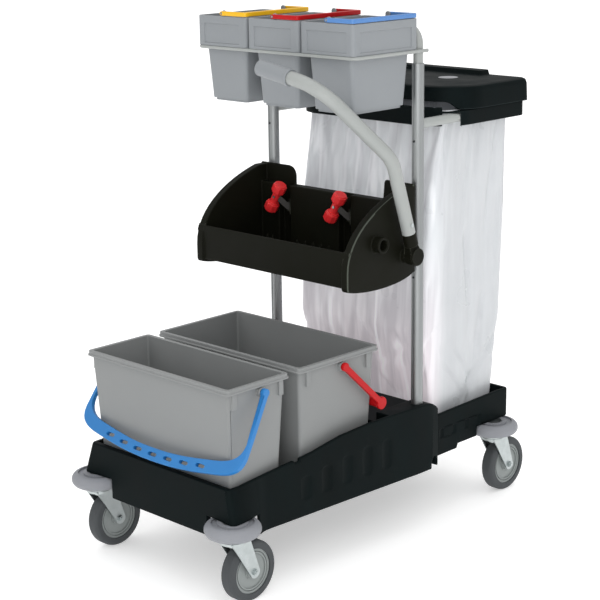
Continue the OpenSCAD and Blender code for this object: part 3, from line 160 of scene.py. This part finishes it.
def finish(name, colour, shade, roughness, patch_mm, grain_mm, grain_depth_mm, stretch=(1, 1, 1),
           specular=0.4, metallic=0.0, edge_highlight=None, glow=0.0):
    """A material whose colour drifts between two hex values over patches, with a fine raised grain.

    Where an edge colour is given, edges turn towards it as a painted highlight: the mask is the angle
    between the surface's own normal and that of an edge rounded by a few millimetres.
    """
    material = bpy.data.materials.new(name)
    material.use_nodes = True
    tree = material.node_tree
    tree.nodes.clear()
    place = put(tree, "ShaderNodeTexCoord")
    along = put(tree, "ShaderNodeMapping", {"Vector": place.outputs["Object"], "Scale": stretch})
    patches = put(tree, "ShaderNodeTexNoise", {
        "Vector": along.outputs["Vector"], "Scale": MM_PER_M / patch_mm, "Detail": 4.0, "Roughness": 0.6})
    tone = put(tree, "ShaderNodeMix", {
        0: patches.outputs["Fac"], 6: linear(colour), 7: linear(shade)}, data_type="RGBA")
    gloss = put(tree, "ShaderNodeMapRange", {
        "Value": patches.outputs["Fac"], "From Min": 0.3, "From Max": 0.7,
        "To Min": roughness[0], "To Max": roughness[1]})
    grain = put(tree, "ShaderNodeTexNoise", {
        "Vector": along.outputs["Vector"], "Scale": MM_PER_M / grain_mm, "Detail": 2.0})
    relief = put(tree, "ShaderNodeBump", {
        "Height": grain.outputs["Fac"], "Strength": 0.35, "Distance": grain_depth_mm / MM_PER_M})
    # a painted highlight: edges turn paler, as if their rounding caught the light
    if edge_highlight:
        softened = put(tree, "ShaderNodeBevel", {"Radius": HIGHLIGHT_EDGE}, samples=6)
        surface = put(tree, "ShaderNodeNewGeometry")
        turn = put(tree, "ShaderNodeVectorMath", {
            0: softened.outputs["Normal"], 1: surface.outputs["Normal"]}, operation="DOT_PRODUCT")
        highlight_mask = put(tree, "ShaderNodeMapRange", {
            "Value": turn.outputs["Value"], "From Min": HIGHLIGHT_STARTS, "From Max": HIGHLIGHT_FULL,
            "To Min": 0.0, "To Max": HIGHLIGHT_SHARE})
        tone = put(tree, "ShaderNodeMix", {
            0: highlight_mask.outputs["Result"], 6: tone.outputs[2], 7: linear(edge_highlight)}, data_type="RGBA")
    shader = put(tree, "ShaderNodeBsdfPrincipled", {
        "Base Color": tone.outputs[2], "Roughness": gloss.outputs["Result"],
        "Normal": relief.outputs["Normal"], "Specular IOR Level": specular, "Metallic": metallic,
        "Emission Color": linear("#FFFFFF"), "Emission Strength": glow})
    put(tree, "ShaderNodeOutputMaterial", {"Surface": shader.outputs["BSDF"]})
    FINISHES[name] = material


print("highlighted edges:", MM_PER_M * HIGHLIGHT_EDGE, "mm wide")

# %% The cart's plastics
MOULDED, CLEAR_GLOSS = (0.36, 0.48), (0.28, 0.38)
# polypropylene moulded in a grained tool: deep black with a faint green cast and a weak sheen, and upright
# teal patches that are a painted sheen
finish("black_polypropylene", "#020505", "#0F191A", (0.48, 0.62), 70, 2.2, 0.10, stretch=(1, 1, 0.4),
       specular=0.06, edge_highlight="#262D2E")
# the tray's plastic is a warmer, flatter black
finish("tray_polypropylene", "#0E0E08", "#16170F", (0.50, 0.64), 80, 2.0, 0.08, specular=0.09,
       edge_highlight="#55574D")
# the tray's swept edges take a paler finish, a painted highlight where they catch the light
finish("painted_highlight_tray_polypropylene", "#3A3F38", "#4A4F46", (0.38, 0.5), 25, 1.6, 0.04, specular=0.25)
# filled grey polypropylene: an even satin
finish("bucket_polypropylene", "#808282", "#898B8B", MOULDED, 120, 2.4, 0.05, specular=0.3)
finish("bin_polypropylene", "#868A8E", "#8F9396", (0.36, 0.46), 120, 2.4, 0.04, specular=0.3)
finish("hub_polypropylene", "#868C8B", "#929796", (0.38, 0.5), 40, 1.6, 0.05, specular=0.3)
finish("disc_plastic", "#8B8C90", "#97989C", (0.36, 0.46), 20, 1.2, 0.03)
# coloured polypropylene: clear colours with a soft gloss
finish("blue_polypropylene", "#2372B4", "#2D7CBE", CLEAR_GLOSS, 60, 2.0, 0.03)
finish("light_blue_polypropylene", "#4A7CBA", "#5585C2", CLEAR_GLOSS, 60, 2.0, 0.03)
finish("red_polypropylene", "#AE080E", "#BA1419", CLEAR_GLOSS, 60, 2.0, 0.03, specular=0.2)
finish("toggle_polypropylene", "#DE2328", "#E63739", CLEAR_GLOSS, 30, 1.4, 0.03)
finish("yellow_polypropylene", "#EDB20A", "#F2BD1E", CLEAR_GLOSS, 60, 2.0, 0.03)
print("plastics:", len(FINISHES))

# %% The cart's metals, paint and rubbers
# bright zinc on pressed steel: a metal with a fine random sparkle
finish("zinc_plate", "#C2C8C8", "#A9B0B0", (0.26, 0.42), 14, 0.9, 0.03, metallic=1.0)
# screws are blackened and oiled
finish("blackened_steel", "#15171A", "#22252A", (0.35, 0.5), 6, 0.8, 0.02, specular=0.3)
# drawn and anodised: the lines run up the post
finish("anodised_aluminium", "#A3A6A6", "#939697", (0.46, 0.56), 8, 1.0, 0.03, stretch=(1, 1, 0.02),
       metallic=1.0)
# powder coat: light grey with a soft orange peel
finish("powder_coat", "#999D9B", "#A3A6A4", (0.30, 0.40), 60, 2.6, 0.06)
# soft rubbers: the buffers are pale and matt, the tyres dark
finish("buffer_rubber", "#85878C", "#8E9095", (0.46, 0.58), 40, 1.4, 0.05, specular=0.25)
finish("tyre_rubber", "#3F4244", "#4C4F51", (0.56, 0.72), 30, 1.2, 0.08, specular=0.25)
finish("strap_rubber", "#3C3B39", "#4A4846", (0.55, 0.7), 12, 1.0, 0.06, specular=0.25)
# matt laminate of a studio table, lit from below
finish("pale_floor", "#F4F4F4", "#F7F7F7", (0.7, 0.8), 400, 6.0, 0.02, specular=0.1, glow=0.38)
print("finishes:", len(FINISHES))

# %% Floor
floor_mesh = bmesh.new()
FLOOR_HALF = 20
bmesh.ops.create_grid(floor_mesh, x_segments=1, y_segments=1, size=FLOOR_HALF)
floor = bpy.data.objects.new("floor", bpy.data.meshes.new("floor"))
floor_mesh.to_mesh(floor.data)
floor_mesh.free()
floor.data.materials.append(FINISHES["pale_floor"])
scene.collection.objects.link(floor)
print("floor:", tuple(floor.dimensions))

# %% [markdown]
# ## Dressing the frame
# A moulding never has a knife edge: the tool leaves a radius of a millimetre or so, and that radius is
# what catches the light. The CAD solids have sharp edges, so each moulding gets a copy of its node's mesh
# whose doubles are merged, whose flat triangles are joined and cut afresh, and whose sharp edges are
# bevelled. The copy stands for the node. Turned and drawn parts, such as tubes and pins, are right as they
# are and only get a material.

# %% Rounding helper
MERGE = 2e-6
FLAT_ANGLE = math.radians(0.5)
SHARP_ANGLE = math.radians(34)
TRAY_SIDE = 0.224  # outer face of the tray's side panels
SIDEWAYS, FORWARDS = 0.25, -0.2  # how far the normal of a face with the painted highlight turns along x and y


def show(name, mesh, material, body):
    """Links a finished mesh as a piece that rides on a body."""
    piece = bpy.data.objects.new(name, mesh)
    piece.data.materials.append(FINISHES[material])
    scene.collection.objects.link(piece)
    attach(piece, body)
    return piece


def round_edges(node, radius, segments=2):
    """A copy of a node's mesh, bent by its helper in SHAPED if it has one, with sharp edges rounded."""
    shape = bmesh.new()
    shape.from_mesh(nodes[node].data)
    bmesh.ops.remove_doubles(shape, verts=shape.verts, dist=MERGE)
    bmesh.ops.dissolve_limit(shape, angle_limit=FLAT_ANGLE, verts=shape.verts, edges=shape.edges)
    if node in SHAPED:
        SHAPED[node](shape)
    bmesh.ops.triangulate(shape, faces=[f for f in shape.faces if len(f.verts) > 4])
    sharp = [e for e in shape.edges if e.is_manifold and e.calc_face_angle() > SHARP_ANGLE]
    rounds = bmesh.ops.bevel(
        shape, geom=sharp, offset=radius, offset_type="OFFSET", affect="EDGES", segments=segments,
        profile=0.5, material=-1, clamp_overlap=False, loop_slide=False)
    for face in shape.faces:
        face.smooth = True
    if node == "tool_tray":
        # the side panels' outer edges that look forwards take the paler finish, a painted highlight
        for face in rounds["faces"]:
            outer = TRAY_SIDE - radius < abs(face.calc_center_median().x) < TRAY_SIDE + MERGE
            face.material_index = int(outer and abs(face.normal.x) > SIDEWAYS and face.normal.y < FORWARDS)
    mesh = bpy.data.meshes.new(node + "_rounded")
    shape.to_mesh(mesh)
    open_edges = sum(not e.is_manifold for e in shape.edges)
    shape.free()
    mesh.set_sharp_from_angle(angle=SHARP_ANGLE)
    return mesh, open_edges


print("edges are sharp from", round(math.degrees(SHARP_ANGLE)), "degrees")

# %% [markdown]
# Two mouldings are shaped a little before their edges are rounded. The base's front corners lean out over
# the round buffers and cover their tops. The slots in the front bucket's bail are long and low. Both could
# be modelled again from nothing, but moving the vertices of the copy keeps everything else where it is.
# A flat wall has vertices only along its edges, so it is first cut across to give the lean enough of them.

# %% Lean the base's front corners
CORNER_LEAN, NOSE_LEAN = 0.032, 0.010  # at the wall's foot, sideways and forwards
WALL_TOP, WALL_FOOT = 0.242, 0.132
CORNER_X, CORNER_Y, NOSE_Y = (0.150, 0.190), (0.340, 0.428), (0.38, 0.43)  # where each starts and is full
ON_CUT = 1e-6
LEAN_CUTS, FIRST_CUT, CUT_STEP = 16, -0.335, -0.006


def ease(value, start, end):
    """0 before start, 1 after end, and a smooth run between them."""
    share = min(1.0, max(0.0, (value - start) / (end - start)))
    return share * share * (3 - 2 * share)


def lean_corners(shape):
    """Leans the base's front corners out over the buffers."""
    for cut in range(LEAN_CUTS):
        bmesh.ops.bisect_plane(shape, geom=shape.verts[:] + shape.edges[:] + shape.faces[:], dist=ON_CUT,
                               plane_co=(0, FIRST_CUT + CUT_STEP * cut, 0), plane_no=(0, 1, 0))
    for vert in shape.verts:
        x, y, z = vert.co
        low = max(0.0, (WALL_TOP - z) / (WALL_TOP - WALL_FOOT)) * ease(abs(x), *CORNER_X)
        vert.co.x += math.copysign(CORNER_LEAN * low * ease(-y, *CORNER_Y), x)
        vert.co.y -= NOSE_LEAN * low * ease(-y, *NOSE_Y)


print("lean at the wall's foot:", MM_PER_M * CORNER_LEAN, "mm")

# %% Stretch the bail's slots
SLOT_PITCH, SLOT_SAG, BAIL_REACH = 0.0455, 0.0011, 0.1825
BAIL_SLOPE = math.radians(56.5)
SLOT_REACH = Vector((0.0105, 0.0055))  # half of a slot, with a little room
SLOT_STRETCH = (1.3, 0.8, 1)
record = frame["record"]
joints = {j["name"]: j for j in record["behaviour"]["joints"]}
BAIL_PIVOT = Vector(joints["front_bail_swing"]["pos_m"])


def stretch_slots(shape):
    """Makes the bail's slots longer and lower, each about its own middle."""
    flat = Matrix.Rotation(-BAIL_SLOPE, 4, "X") @ Matrix.Translation((0, -BAIL_PIVOT.y, -BAIL_PIVOT.z))
    for i in range(-3, 4):
        middle = Vector((i * SLOT_PITCH, SLOT_SAG * i * i - BAIL_REACH, 0))
        space = Matrix.Translation(-middle) @ flat
        spots = ((v, space @ v.co) for v in shape.verts)
        rim = [v for v, spot in spots if abs(spot.x) < SLOT_REACH.x and abs(spot.y) < SLOT_REACH.y]
        bmesh.ops.scale(shape, vec=SLOT_STRETCH, verts=rim, space=space)
        print("slot", i, "rim vertices:", len(rim))


SHAPED = {"base_moulding": lean_corners, "front_bail": stretch_slots}
print("bail pivot:", tuple(round(c, 4) for c in BAIL_PIVOT))

# %% Which finish each node has
SLOT_OF = {s["node"]: s["material_slot"] for s in record["subparts"]}
BODY_OF = {n: b for b, members in record["behaviour"]["bodies"].items() for n in members}
FINISH_OF_SLOT = {
    "black_plastic": "black_polypropylene", "tray_plastic": "tray_polypropylene",
    "bucket_plastic": "bucket_polypropylene", "bin_plastic": "bin_polypropylene",
    "hub_plastic": "hub_polypropylene", "disc_plastic": "disc_plastic", "zinc_steel": "zinc_plate",
    "post_aluminium": "anodised_aluminium", "tube_paint": "powder_coat", "buffer_rubber": "buffer_rubber",
    "tyre_rubber": "tyre_rubber", "strap_rubber": "strap_rubber", "blue_plastic": "blue_polypropylene",
    "light_blue_plastic": "light_blue_polypropylene", "red_plastic": "red_polypropylene",
    "yellow_plastic": "yellow_polypropylene", "bag_film": "disc_plastic"}  # the bag's film comes later
for name, cad in nodes.items():
    cad.data.materials.clear()
    cad.data.materials.append(FINISHES[FINISH_OF_SLOT[SLOT_OF[name]]])
for name in ("left_toggle", "right_toggle"):
    nodes[name].data.materials[0] = FINISHES["toggle_polypropylene"]
nodes["post_screws"].data.materials[0] = FINISHES["blackened_steel"]
print("dressed nodes:", len(nodes))

# %% Rounded mouldings
ROUNDED_MM = {
    "base_moulding": 3.0, "bag_platform": 3.0, "tool_tray": 2.2, "bag_ring": 1.2, "lid": 1.5,
    "front_bucket": 1.0, "rear_bucket": 1.0, "left_bin": 0.8, "middle_bin": 0.8, "right_bin": 0.8,
    "front_bail": 1.3, "rear_bail": 1.5, "left_bin_bail": 1.2, "middle_bin_bail": 1.2,
    "right_bin_bail": 1.2, "handle_knuckle": 1.2, "handle_cap": 1.2, "handle_grip": 0.8,
    "left_toggle": 0.8, "right_toggle": 0.8}
for name, radius in ROUNDED_MM.items():
    mesh, open_edges = round_edges(name, radius / MM_PER_M)
    slot = SLOT_OF[name]
    finish_name = "toggle_polypropylene" if "toggle" in name else FINISH_OF_SLOT[slot]
    piece = show(name + "_rounded", mesh, finish_name, BODY_OF[name])
    if name == "tool_tray":
        # the tray's second material is the painted highlight on its side panels' edges
        piece.data.materials.append(FINISHES["painted_highlight_tray_polypropylene"])
    soft = piece.modifiers.new("even_normals", "WEIGHTED_NORMAL")
    soft.keep_sharp = True
    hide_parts(name)
    print(piece.name, len(mesh.polygons), "faces,", open_edges, "open edges")

# %% [markdown]
# ## Waste bag
# The bag is thin white film. It hangs from the ring's mouth, swells to a slack waist and stands on the
# platform. It has more film than the mouth needs, so it is gathered there in pleats that run down and fade,
# and it is crushed where it stands. A box with a bumpy material would lack the outline of the folds. Here
# the bag is lofted: a square face gets round corners, its rim is extruded upwards ring by ring, and each
# ring is scaled to the outline at its height. Then every vertex moves along its normal by the sum of many
# creases. A crease of film has one steep side and one gentle side, which is what makes its bright line.

# %% The film
film_white = bpy.data.materials.new("polyethylene_film")
film_white.use_nodes = True
tree = film_white.node_tree
tree.nodes.clear()
place = put(tree, "ShaderNodeTexCoord")
spot = put(tree, "ShaderNodeSeparateXYZ", {"Vector": place.outputs["Object"]})
# blown film is cloudy over a hand's breadth, and low on the front it takes a warmer tint that is painted
# shade
CLOUD_MM = 90
UPPER_Z, LOWER_Z = 0.62, 0.24
SIDE_Y, FRONT_Y = 0.24, 0.18
cloud = put(tree, "ShaderNodeTexNoise", {
    "Vector": place.outputs["Object"], "Scale": MM_PER_M / CLOUD_MM, "Detail": 3.0})
plain = put(tree, "ShaderNodeMix", {
    0: cloud.outputs["Fac"], 6: linear("#BFC3C6"), 7: linear("#CED0D3")}, data_type="RGBA")
low = put(tree, "ShaderNodeMapRange", {
    "Value": spot.outputs["Z"], "From Min": UPPER_Z, "From Max": LOWER_Z, "To Min": 0.0, "To Max": 1.0})
ahead = put(tree, "ShaderNodeMapRange", {
    "Value": spot.outputs["Y"], "From Min": SIDE_Y, "From Max": FRONT_Y, "To Min": 0.0, "To Max": 0.75})
painted_shade_tint = put(tree, "ShaderNodeMath", {
    0: low.outputs["Result"], 1: ahead.outputs["Result"]}, operation="MULTIPLY")
tone = put(tree, "ShaderNodeMix", {
    0: painted_shade_tint.outputs["Value"], 6: plain.outputs[2], 7: linear("#D3C4CA")}, data_type="RGBA")
print("film tint nodes:", len(tree.nodes))

# %% Strips and streaks of the film
# painted shade in upright strips, as in the valleys of pleats, plainest on the front
STRIP_MM, STREAK_MM = 35, 24
STRIP_ON_FRONT, STRIP_ELSEWHERE = 0.42, 0.08
STREAK_ON_FRONT, STREAK_ELSEWHERE = 0.62, 0.05
upright_strip = put(tree, "ShaderNodeMapping", {"Vector": place.outputs["Object"], "Scale": (1, 1, 0.10)})
strips = put(tree, "ShaderNodeTexNoise", {
    "Vector": upright_strip.outputs["Vector"], "Scale": MM_PER_M / STRIP_MM,
    "Detail": 2.0, "Distortion": 0.8})
# share of the painted shade in the strips, largest on the front
gathered = put(tree, "ShaderNodeMath", {
    0: ahead.outputs["Result"], 1: STRIP_ON_FRONT, 2: STRIP_ELSEWHERE}, operation="MULTIPLY_ADD")
painted_shade_strips = put(tree, "ShaderNodeMapRange", {
    "Value": strips.outputs["Fac"], "From Min": 0.40, "From Max": 0.62,
    "To Min": 0.0, "To Max": gathered.outputs["Value"]})
tone = put(tree, "ShaderNodeMix", {
    0: painted_shade_strips.outputs["Result"], 6: tone.outputs[2], 7: linear("#8F8B92")}, data_type="RGBA")
# painted highlights in soft bright streaks between the strips, plainest on the front
thin = put(tree, "ShaderNodeMapping", {
    "Vector": place.outputs["Object"], "Scale": (1, 1, 0.06), "Location": (0.3, 0.1, 0)})
streaks = put(tree, "ShaderNodeTexNoise", {
    "Vector": thin.outputs["Vector"], "Scale": MM_PER_M / STREAK_MM, "Detail": 1.0, "Distortion": 0.5})
# share of the painted highlight in the streaks, largest on the front
clear = put(tree, "ShaderNodeMath", {
    0: ahead.outputs["Result"], 1: STREAK_ON_FRONT, 2: STREAK_ELSEWHERE}, operation="MULTIPLY_ADD")
bright = put(tree, "ShaderNodeMapRange", {
    "Value": streaks.outputs["Fac"], "From Min": 0.52, "From Max": 0.72,
    "To Min": 0.0, "To Max": clear.outputs["Value"]})
tone = put(tree, "ShaderNodeMix", {
    0: bright.outputs["Result"], 6: tone.outputs[2], 7: linear("#F2F2F5")}, data_type="RGBA")
print("strips:", STRIP_MM, "mm, streaks:", STREAK_MM, "mm")

# %% Light through the film, and its crinkles
# a painted glow on the front stands in for light from behind that comes through the film, most of it low
# down
LIGHT_LOW, LIGHT_EVERYWHERE = 0.20, 0.50
lit = put(tree, "ShaderNodeMath", {
    0: low.outputs["Result"], 1: LIGHT_LOW, 2: LIGHT_EVERYWHERE}, operation="MULTIPLY_ADD")
painted_glow = put(tree, "ShaderNodeMath", {
    0: lit.outputs["Value"], 1: ahead.outputs["Result"]}, operation="MULTIPLY")
# fine crinkles, stretched upwards
CRINKLE_MM, CRINKLE_DEPTH_MM = 20, 1.6
tall = put(tree, "ShaderNodeMapping", {"Vector": place.outputs["Object"], "Scale": (1, 1, 0.35)})
crinkle = put(tree, "ShaderNodeTexNoise", {
    "Vector": tall.outputs["Vector"], "Scale": MM_PER_M / CRINKLE_MM, "Detail": 3.0, "Distortion": 0.6})
relief = put(tree, "ShaderNodeBump", {
    "Height": crinkle.outputs["Fac"], "Strength": 0.22, "Distance": CRINKLE_DEPTH_MM / MM_PER_M})
gloss = put(tree, "ShaderNodeMapRange", {
    "Value": cloud.outputs["Fac"], "From Min": 0.3, "From Max": 0.7, "To Min": 0.26, "To Max": 0.38})
shader = put(tree, "ShaderNodeBsdfPrincipled", {
    "Base Color": tone.outputs[2], "Roughness": gloss.outputs["Result"],
    "Normal": relief.outputs["Normal"], "Specular IOR Level": 0.6,
    "Emission Color": tone.outputs[2], "Emission Strength": painted_glow.outputs["Value"]})
put(tree, "ShaderNodeOutputMaterial", {"Surface": shader.outputs["BSDF"]})
FINISHES["polyethylene_film"] = film_white
nodes["waste_bag"].data.materials[0] = film_white
print("film nodes:", len(tree.nodes))

# %% Loft the bag
BAG_LEVELS = [  # height, half width, front, back
    (0.1795, 0.1700, 0.2020, 0.4100),
    (0.1940, 0.1760, 0.1970, 0.4150),
    (0.4200, 0.1900, 0.1570, 0.4330),
    (0.6800, 0.1930, 0.1720, 0.4420),
    (0.8930, 0.1948, 0.2075, 0.4465)]
BAG_CORNER, CORNER_SEGMENTS = 0.014, 8
FRONT_CUTS, SIDE_CUTS = 78, 46
BAG_ROWS = 126


def bag_outline(z):
    """Half width, middle and half depth of the bag at a height, between the levels above and below it."""
    low, high = next(pair for pair in zip(BAG_LEVELS, BAG_LEVELS[1:]) if z <= pair[1][0] + 1e-9)
    share = (z - low[0]) / (high[0] - low[0])
    half_x, front, rear = (a + (b - a) * share for a, b in zip(low[1:], high[1:]))
    return half_x, (front + rear) / 2, (rear - front) / 2


def fit_ring(shape, verts, old, new, lift):
    """Scales a ring of vertices from one outline to another and lifts it."""
    bmesh.ops.scale(shape, vec=(new[0] / old[0], new[2] / old[2], 1), verts=verts,
                    space=Matrix.Translation((0, -old[1], 0)))
    bmesh.ops.translate(shape, vec=(0, new[1] - old[1], lift), verts=verts)


def grow(shape, edges):
    """Extrudes a rim and returns the new rim's edges and vertices."""
    made = bmesh.ops.extrude_edge_only(shape, edges=edges)["geom"]
    rim = [g for g in made if isinstance(g, bmesh.types.BMEdge) and g.is_boundary]
    return rim, [g for g in made if isinstance(g, bmesh.types.BMVert)]


BAG_FOOT, BAG_TOP = BAG_LEVELS[0][0], BAG_LEVELS[-1][0]
bag = bmesh.new()
half_x, middle, half_y = bag_outline(BAG_FOOT)
bmesh.ops.create_grid(bag, x_segments=1, y_segments=1, size=1)
bmesh.ops.scale(bag, vec=(half_x, half_y, 1), verts=bag.verts)
bmesh.ops.translate(bag, vec=(0, middle, BAG_FOOT), verts=bag.verts)
bmesh.ops.bevel(bag, geom=bag.verts[:], offset=BAG_CORNER, affect="VERTICES", segments=CORNER_SEGMENTS,
                profile=0.5, material=-1)
for length, cuts in ((2 * half_x, FRONT_CUTS), (2 * half_y, SIDE_CUTS)):
    sides = [e for e in bag.edges if abs(e.calc_length() - (length - 2 * BAG_CORNER)) < 1e-4]
    bmesh.ops.subdivide_edges(bag, edges=sides, cuts=cuts)

rim = [e for e in bag.edges if e.is_boundary]
old = bag_outline(BAG_FOOT)
rise = (BAG_TOP - BAG_FOOT) / BAG_ROWS
for row in range(BAG_ROWS):
    rim, ring = grow(bag, rim)
    new = bag_outline(BAG_FOOT + rise * (row + 1))
    fit_ring(bag, ring, old, new, rise)
    old = new
bmesh.ops.recalc_face_normals(bag, faces=bag.faces)
print("bag columns:", len(rim), "rows:", BAG_ROWS)

# %% [markdown]
# The creases are drawn on the film laid out flat: u runs round the bag from the middle of its front, z runs
# up. A crease starts at a point, runs down or up at a slant, and has a length, a depth, a steep side and a
# gentle side that widens along it. Pleats start at the mouth, long folds start anywhere, and crushes start
# near the foot and lean more.

# %% Crease list
ROUND = 1.24  # metres of film round the mouth
KINDS = (  # count, then the least and most of start height, slant, length, depth and width
    (46, (0.885, 0.893), (-0.16, 0.16), (0.12, 0.50), (0.0045, 0.0105), (0.012, 0.032)),  # pleats
    (22, (0.45, 0.80), (-0.22, 0.22), (0.18, 0.45), (0.0035, 0.0080), (0.020, 0.050)),  # folds
    (34, (0.20, 0.42), (-1.1, 1.1), (0.06, 0.20), (0.0030, 0.0070), (0.016, 0.034)))  # crushes
shuffle = random.Random(11)
creases = []
for count, *ranges in KINDS:
    for i in range(count):
        around = (i + shuffle.uniform(-0.45, 0.45)) * ROUND / count
        drawn = [shuffle.uniform(*least_most) for least_most in ranges]
        creases.append((around, *drawn, shuffle.choice((-1, 1))))
print("creases:", len(creases))


# %% Unroll the film
def unroll(x, y, z):
    """How far round the film a point lies, from the middle of the front, over the way round."""
    half_x, middle, half_y = bag_outline(min(max(z, BAG_FOOT), BAG_TOP))
    across, along = x / half_x, (y - middle) / half_y
    if abs(along) >= abs(across):
        turn = across if along < 0 else (4 - across if across >= 0 else -4 - across)
    else:
        turn = 2 + along if across > 0 else -2 - along
    return turn / 8 * ROUND % ROUND


print("middle of the right side:", round(unroll(half_x, middle, BAG_FOOT), 3), "m round the film")

# %% Depth of the creases
RUN_IN = 0.03  # metres over which a crease starts
STEEP_SHARE = 0.22  # width of a crease's steep side over that of its gentle side
START_WIDTH, WIDENING, FARTHEST = 0.7, 1.1, 3  # in widths of the crease


def crease_depth(u, z):
    """Sum of the creases at a point of the unrolled film."""
    depth = 0
    for around, start, slant, length, deep, width, side in creases:
        fallen = start - z
        if not -RUN_IN < fallen < length:
            continue
        off = (u - around - slant * fallen + ROUND / 2) % ROUND - ROUND / 2
        share = max(0.0, fallen) / length
        gentle = width * (START_WIDTH + WIDENING * share)
        if abs(off) > FARTHEST * gentle:
            continue
        reach = gentle if off * side > 0 else STEEP_SHARE * gentle
        fade = (1 - share) * min(1, (fallen + RUN_IN) / RUN_IN)
        depth += deep * fade * math.exp(-abs(off) / reach)
    return depth


print("creases in the middle of the front:", round(MM_PER_M * crease_depth(0, 0.5), 1), "mm deep")

# %% Fold the film
WAVE_DEPTH, WAVE_SHIFT, WAVE_POWER = 0.006, 0.4, 0.7
WAVES_ACROSS, WAVES_UP, WAVE_SEED = 9, 2.2, 3.7  # waves per metre, and where the noise is read
HELD_SHARE = 0.03  # share of the height, at the mouth and at the foot, over which the folds die out
SMOOTHING = 0.35
bag.normal_update()
moves = {}
for vert in bag.verts:
    x, y, z = vert.co
    height = min(1.0, max(0.0, (z - BAG_FOOT) / (BAG_TOP - BAG_FOOT)))
    wave = noise.noise(Vector((x * WAVES_ACROSS + WAVE_SEED, y * WAVES_ACROSS, z * WAVES_UP)))
    held = min(1, (1 - height) / HELD_SHARE) * min(1, height / HELD_SHARE)
    slack = WAVE_DEPTH * (wave + WAVE_SHIFT) * math.sin(math.pi * height) ** WAVE_POWER
    depth = crease_depth(unroll(x, y, z), z) + slack
    flat = Vector((vert.normal.x, vert.normal.y, 0))
    if flat.length > 0.5:  # on the walls, not on the foot
        moves[vert] = -flat.normalized() * depth * held
for vert, move in moves.items():
    vert.co += move
bmesh.ops.smooth_vert(bag, verts=[v for v in moves if not v.is_boundary], factor=SMOOTHING,
                      use_axis_x=True, use_axis_y=True, use_axis_z=False)
print("deepest fold:", round(MM_PER_M * max(m.length for m in moves.values()), 1), "mm")

# %% Neck and cuff
# The film runs up through the mouth and over the ring's flange.
NECK = (0.1952, 0.3275, 0.1197)  # half width, middle and half depth
CUFF = (0.2105, 0.3305, 0.1227)
FILM_THICKNESS = 0.0005  # real film is thinner still
for outline, lift in ((NECK, 0.0008), (NECK, 0.0065), (CUFF, 0.0), (CUFF, -0.0008)):
    rim, ring = grow(bag, rim)
    fit_ring(bag, ring, old, outline, lift)
    old = outline
bmesh.ops.recalc_face_normals(bag, faces=bag.faces)
for face in bag.faces:
    face.smooth = True
bag_mesh = bpy.data.meshes.new("film_bag")
bag.to_mesh(bag_mesh)
bag.free()
film_bag = show("film_bag", bag_mesh, "polyethylene_film", "frame")
film = film_bag.modifiers.new("film", "SOLIDIFY")
film.thickness = FILM_THICKNESS
film.offset = -1
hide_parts("waste_bag")
print("film:", len(bag_mesh.polygons), "faces, top", round(max(v.co.z for v in bag_mesh.vertices), 4))
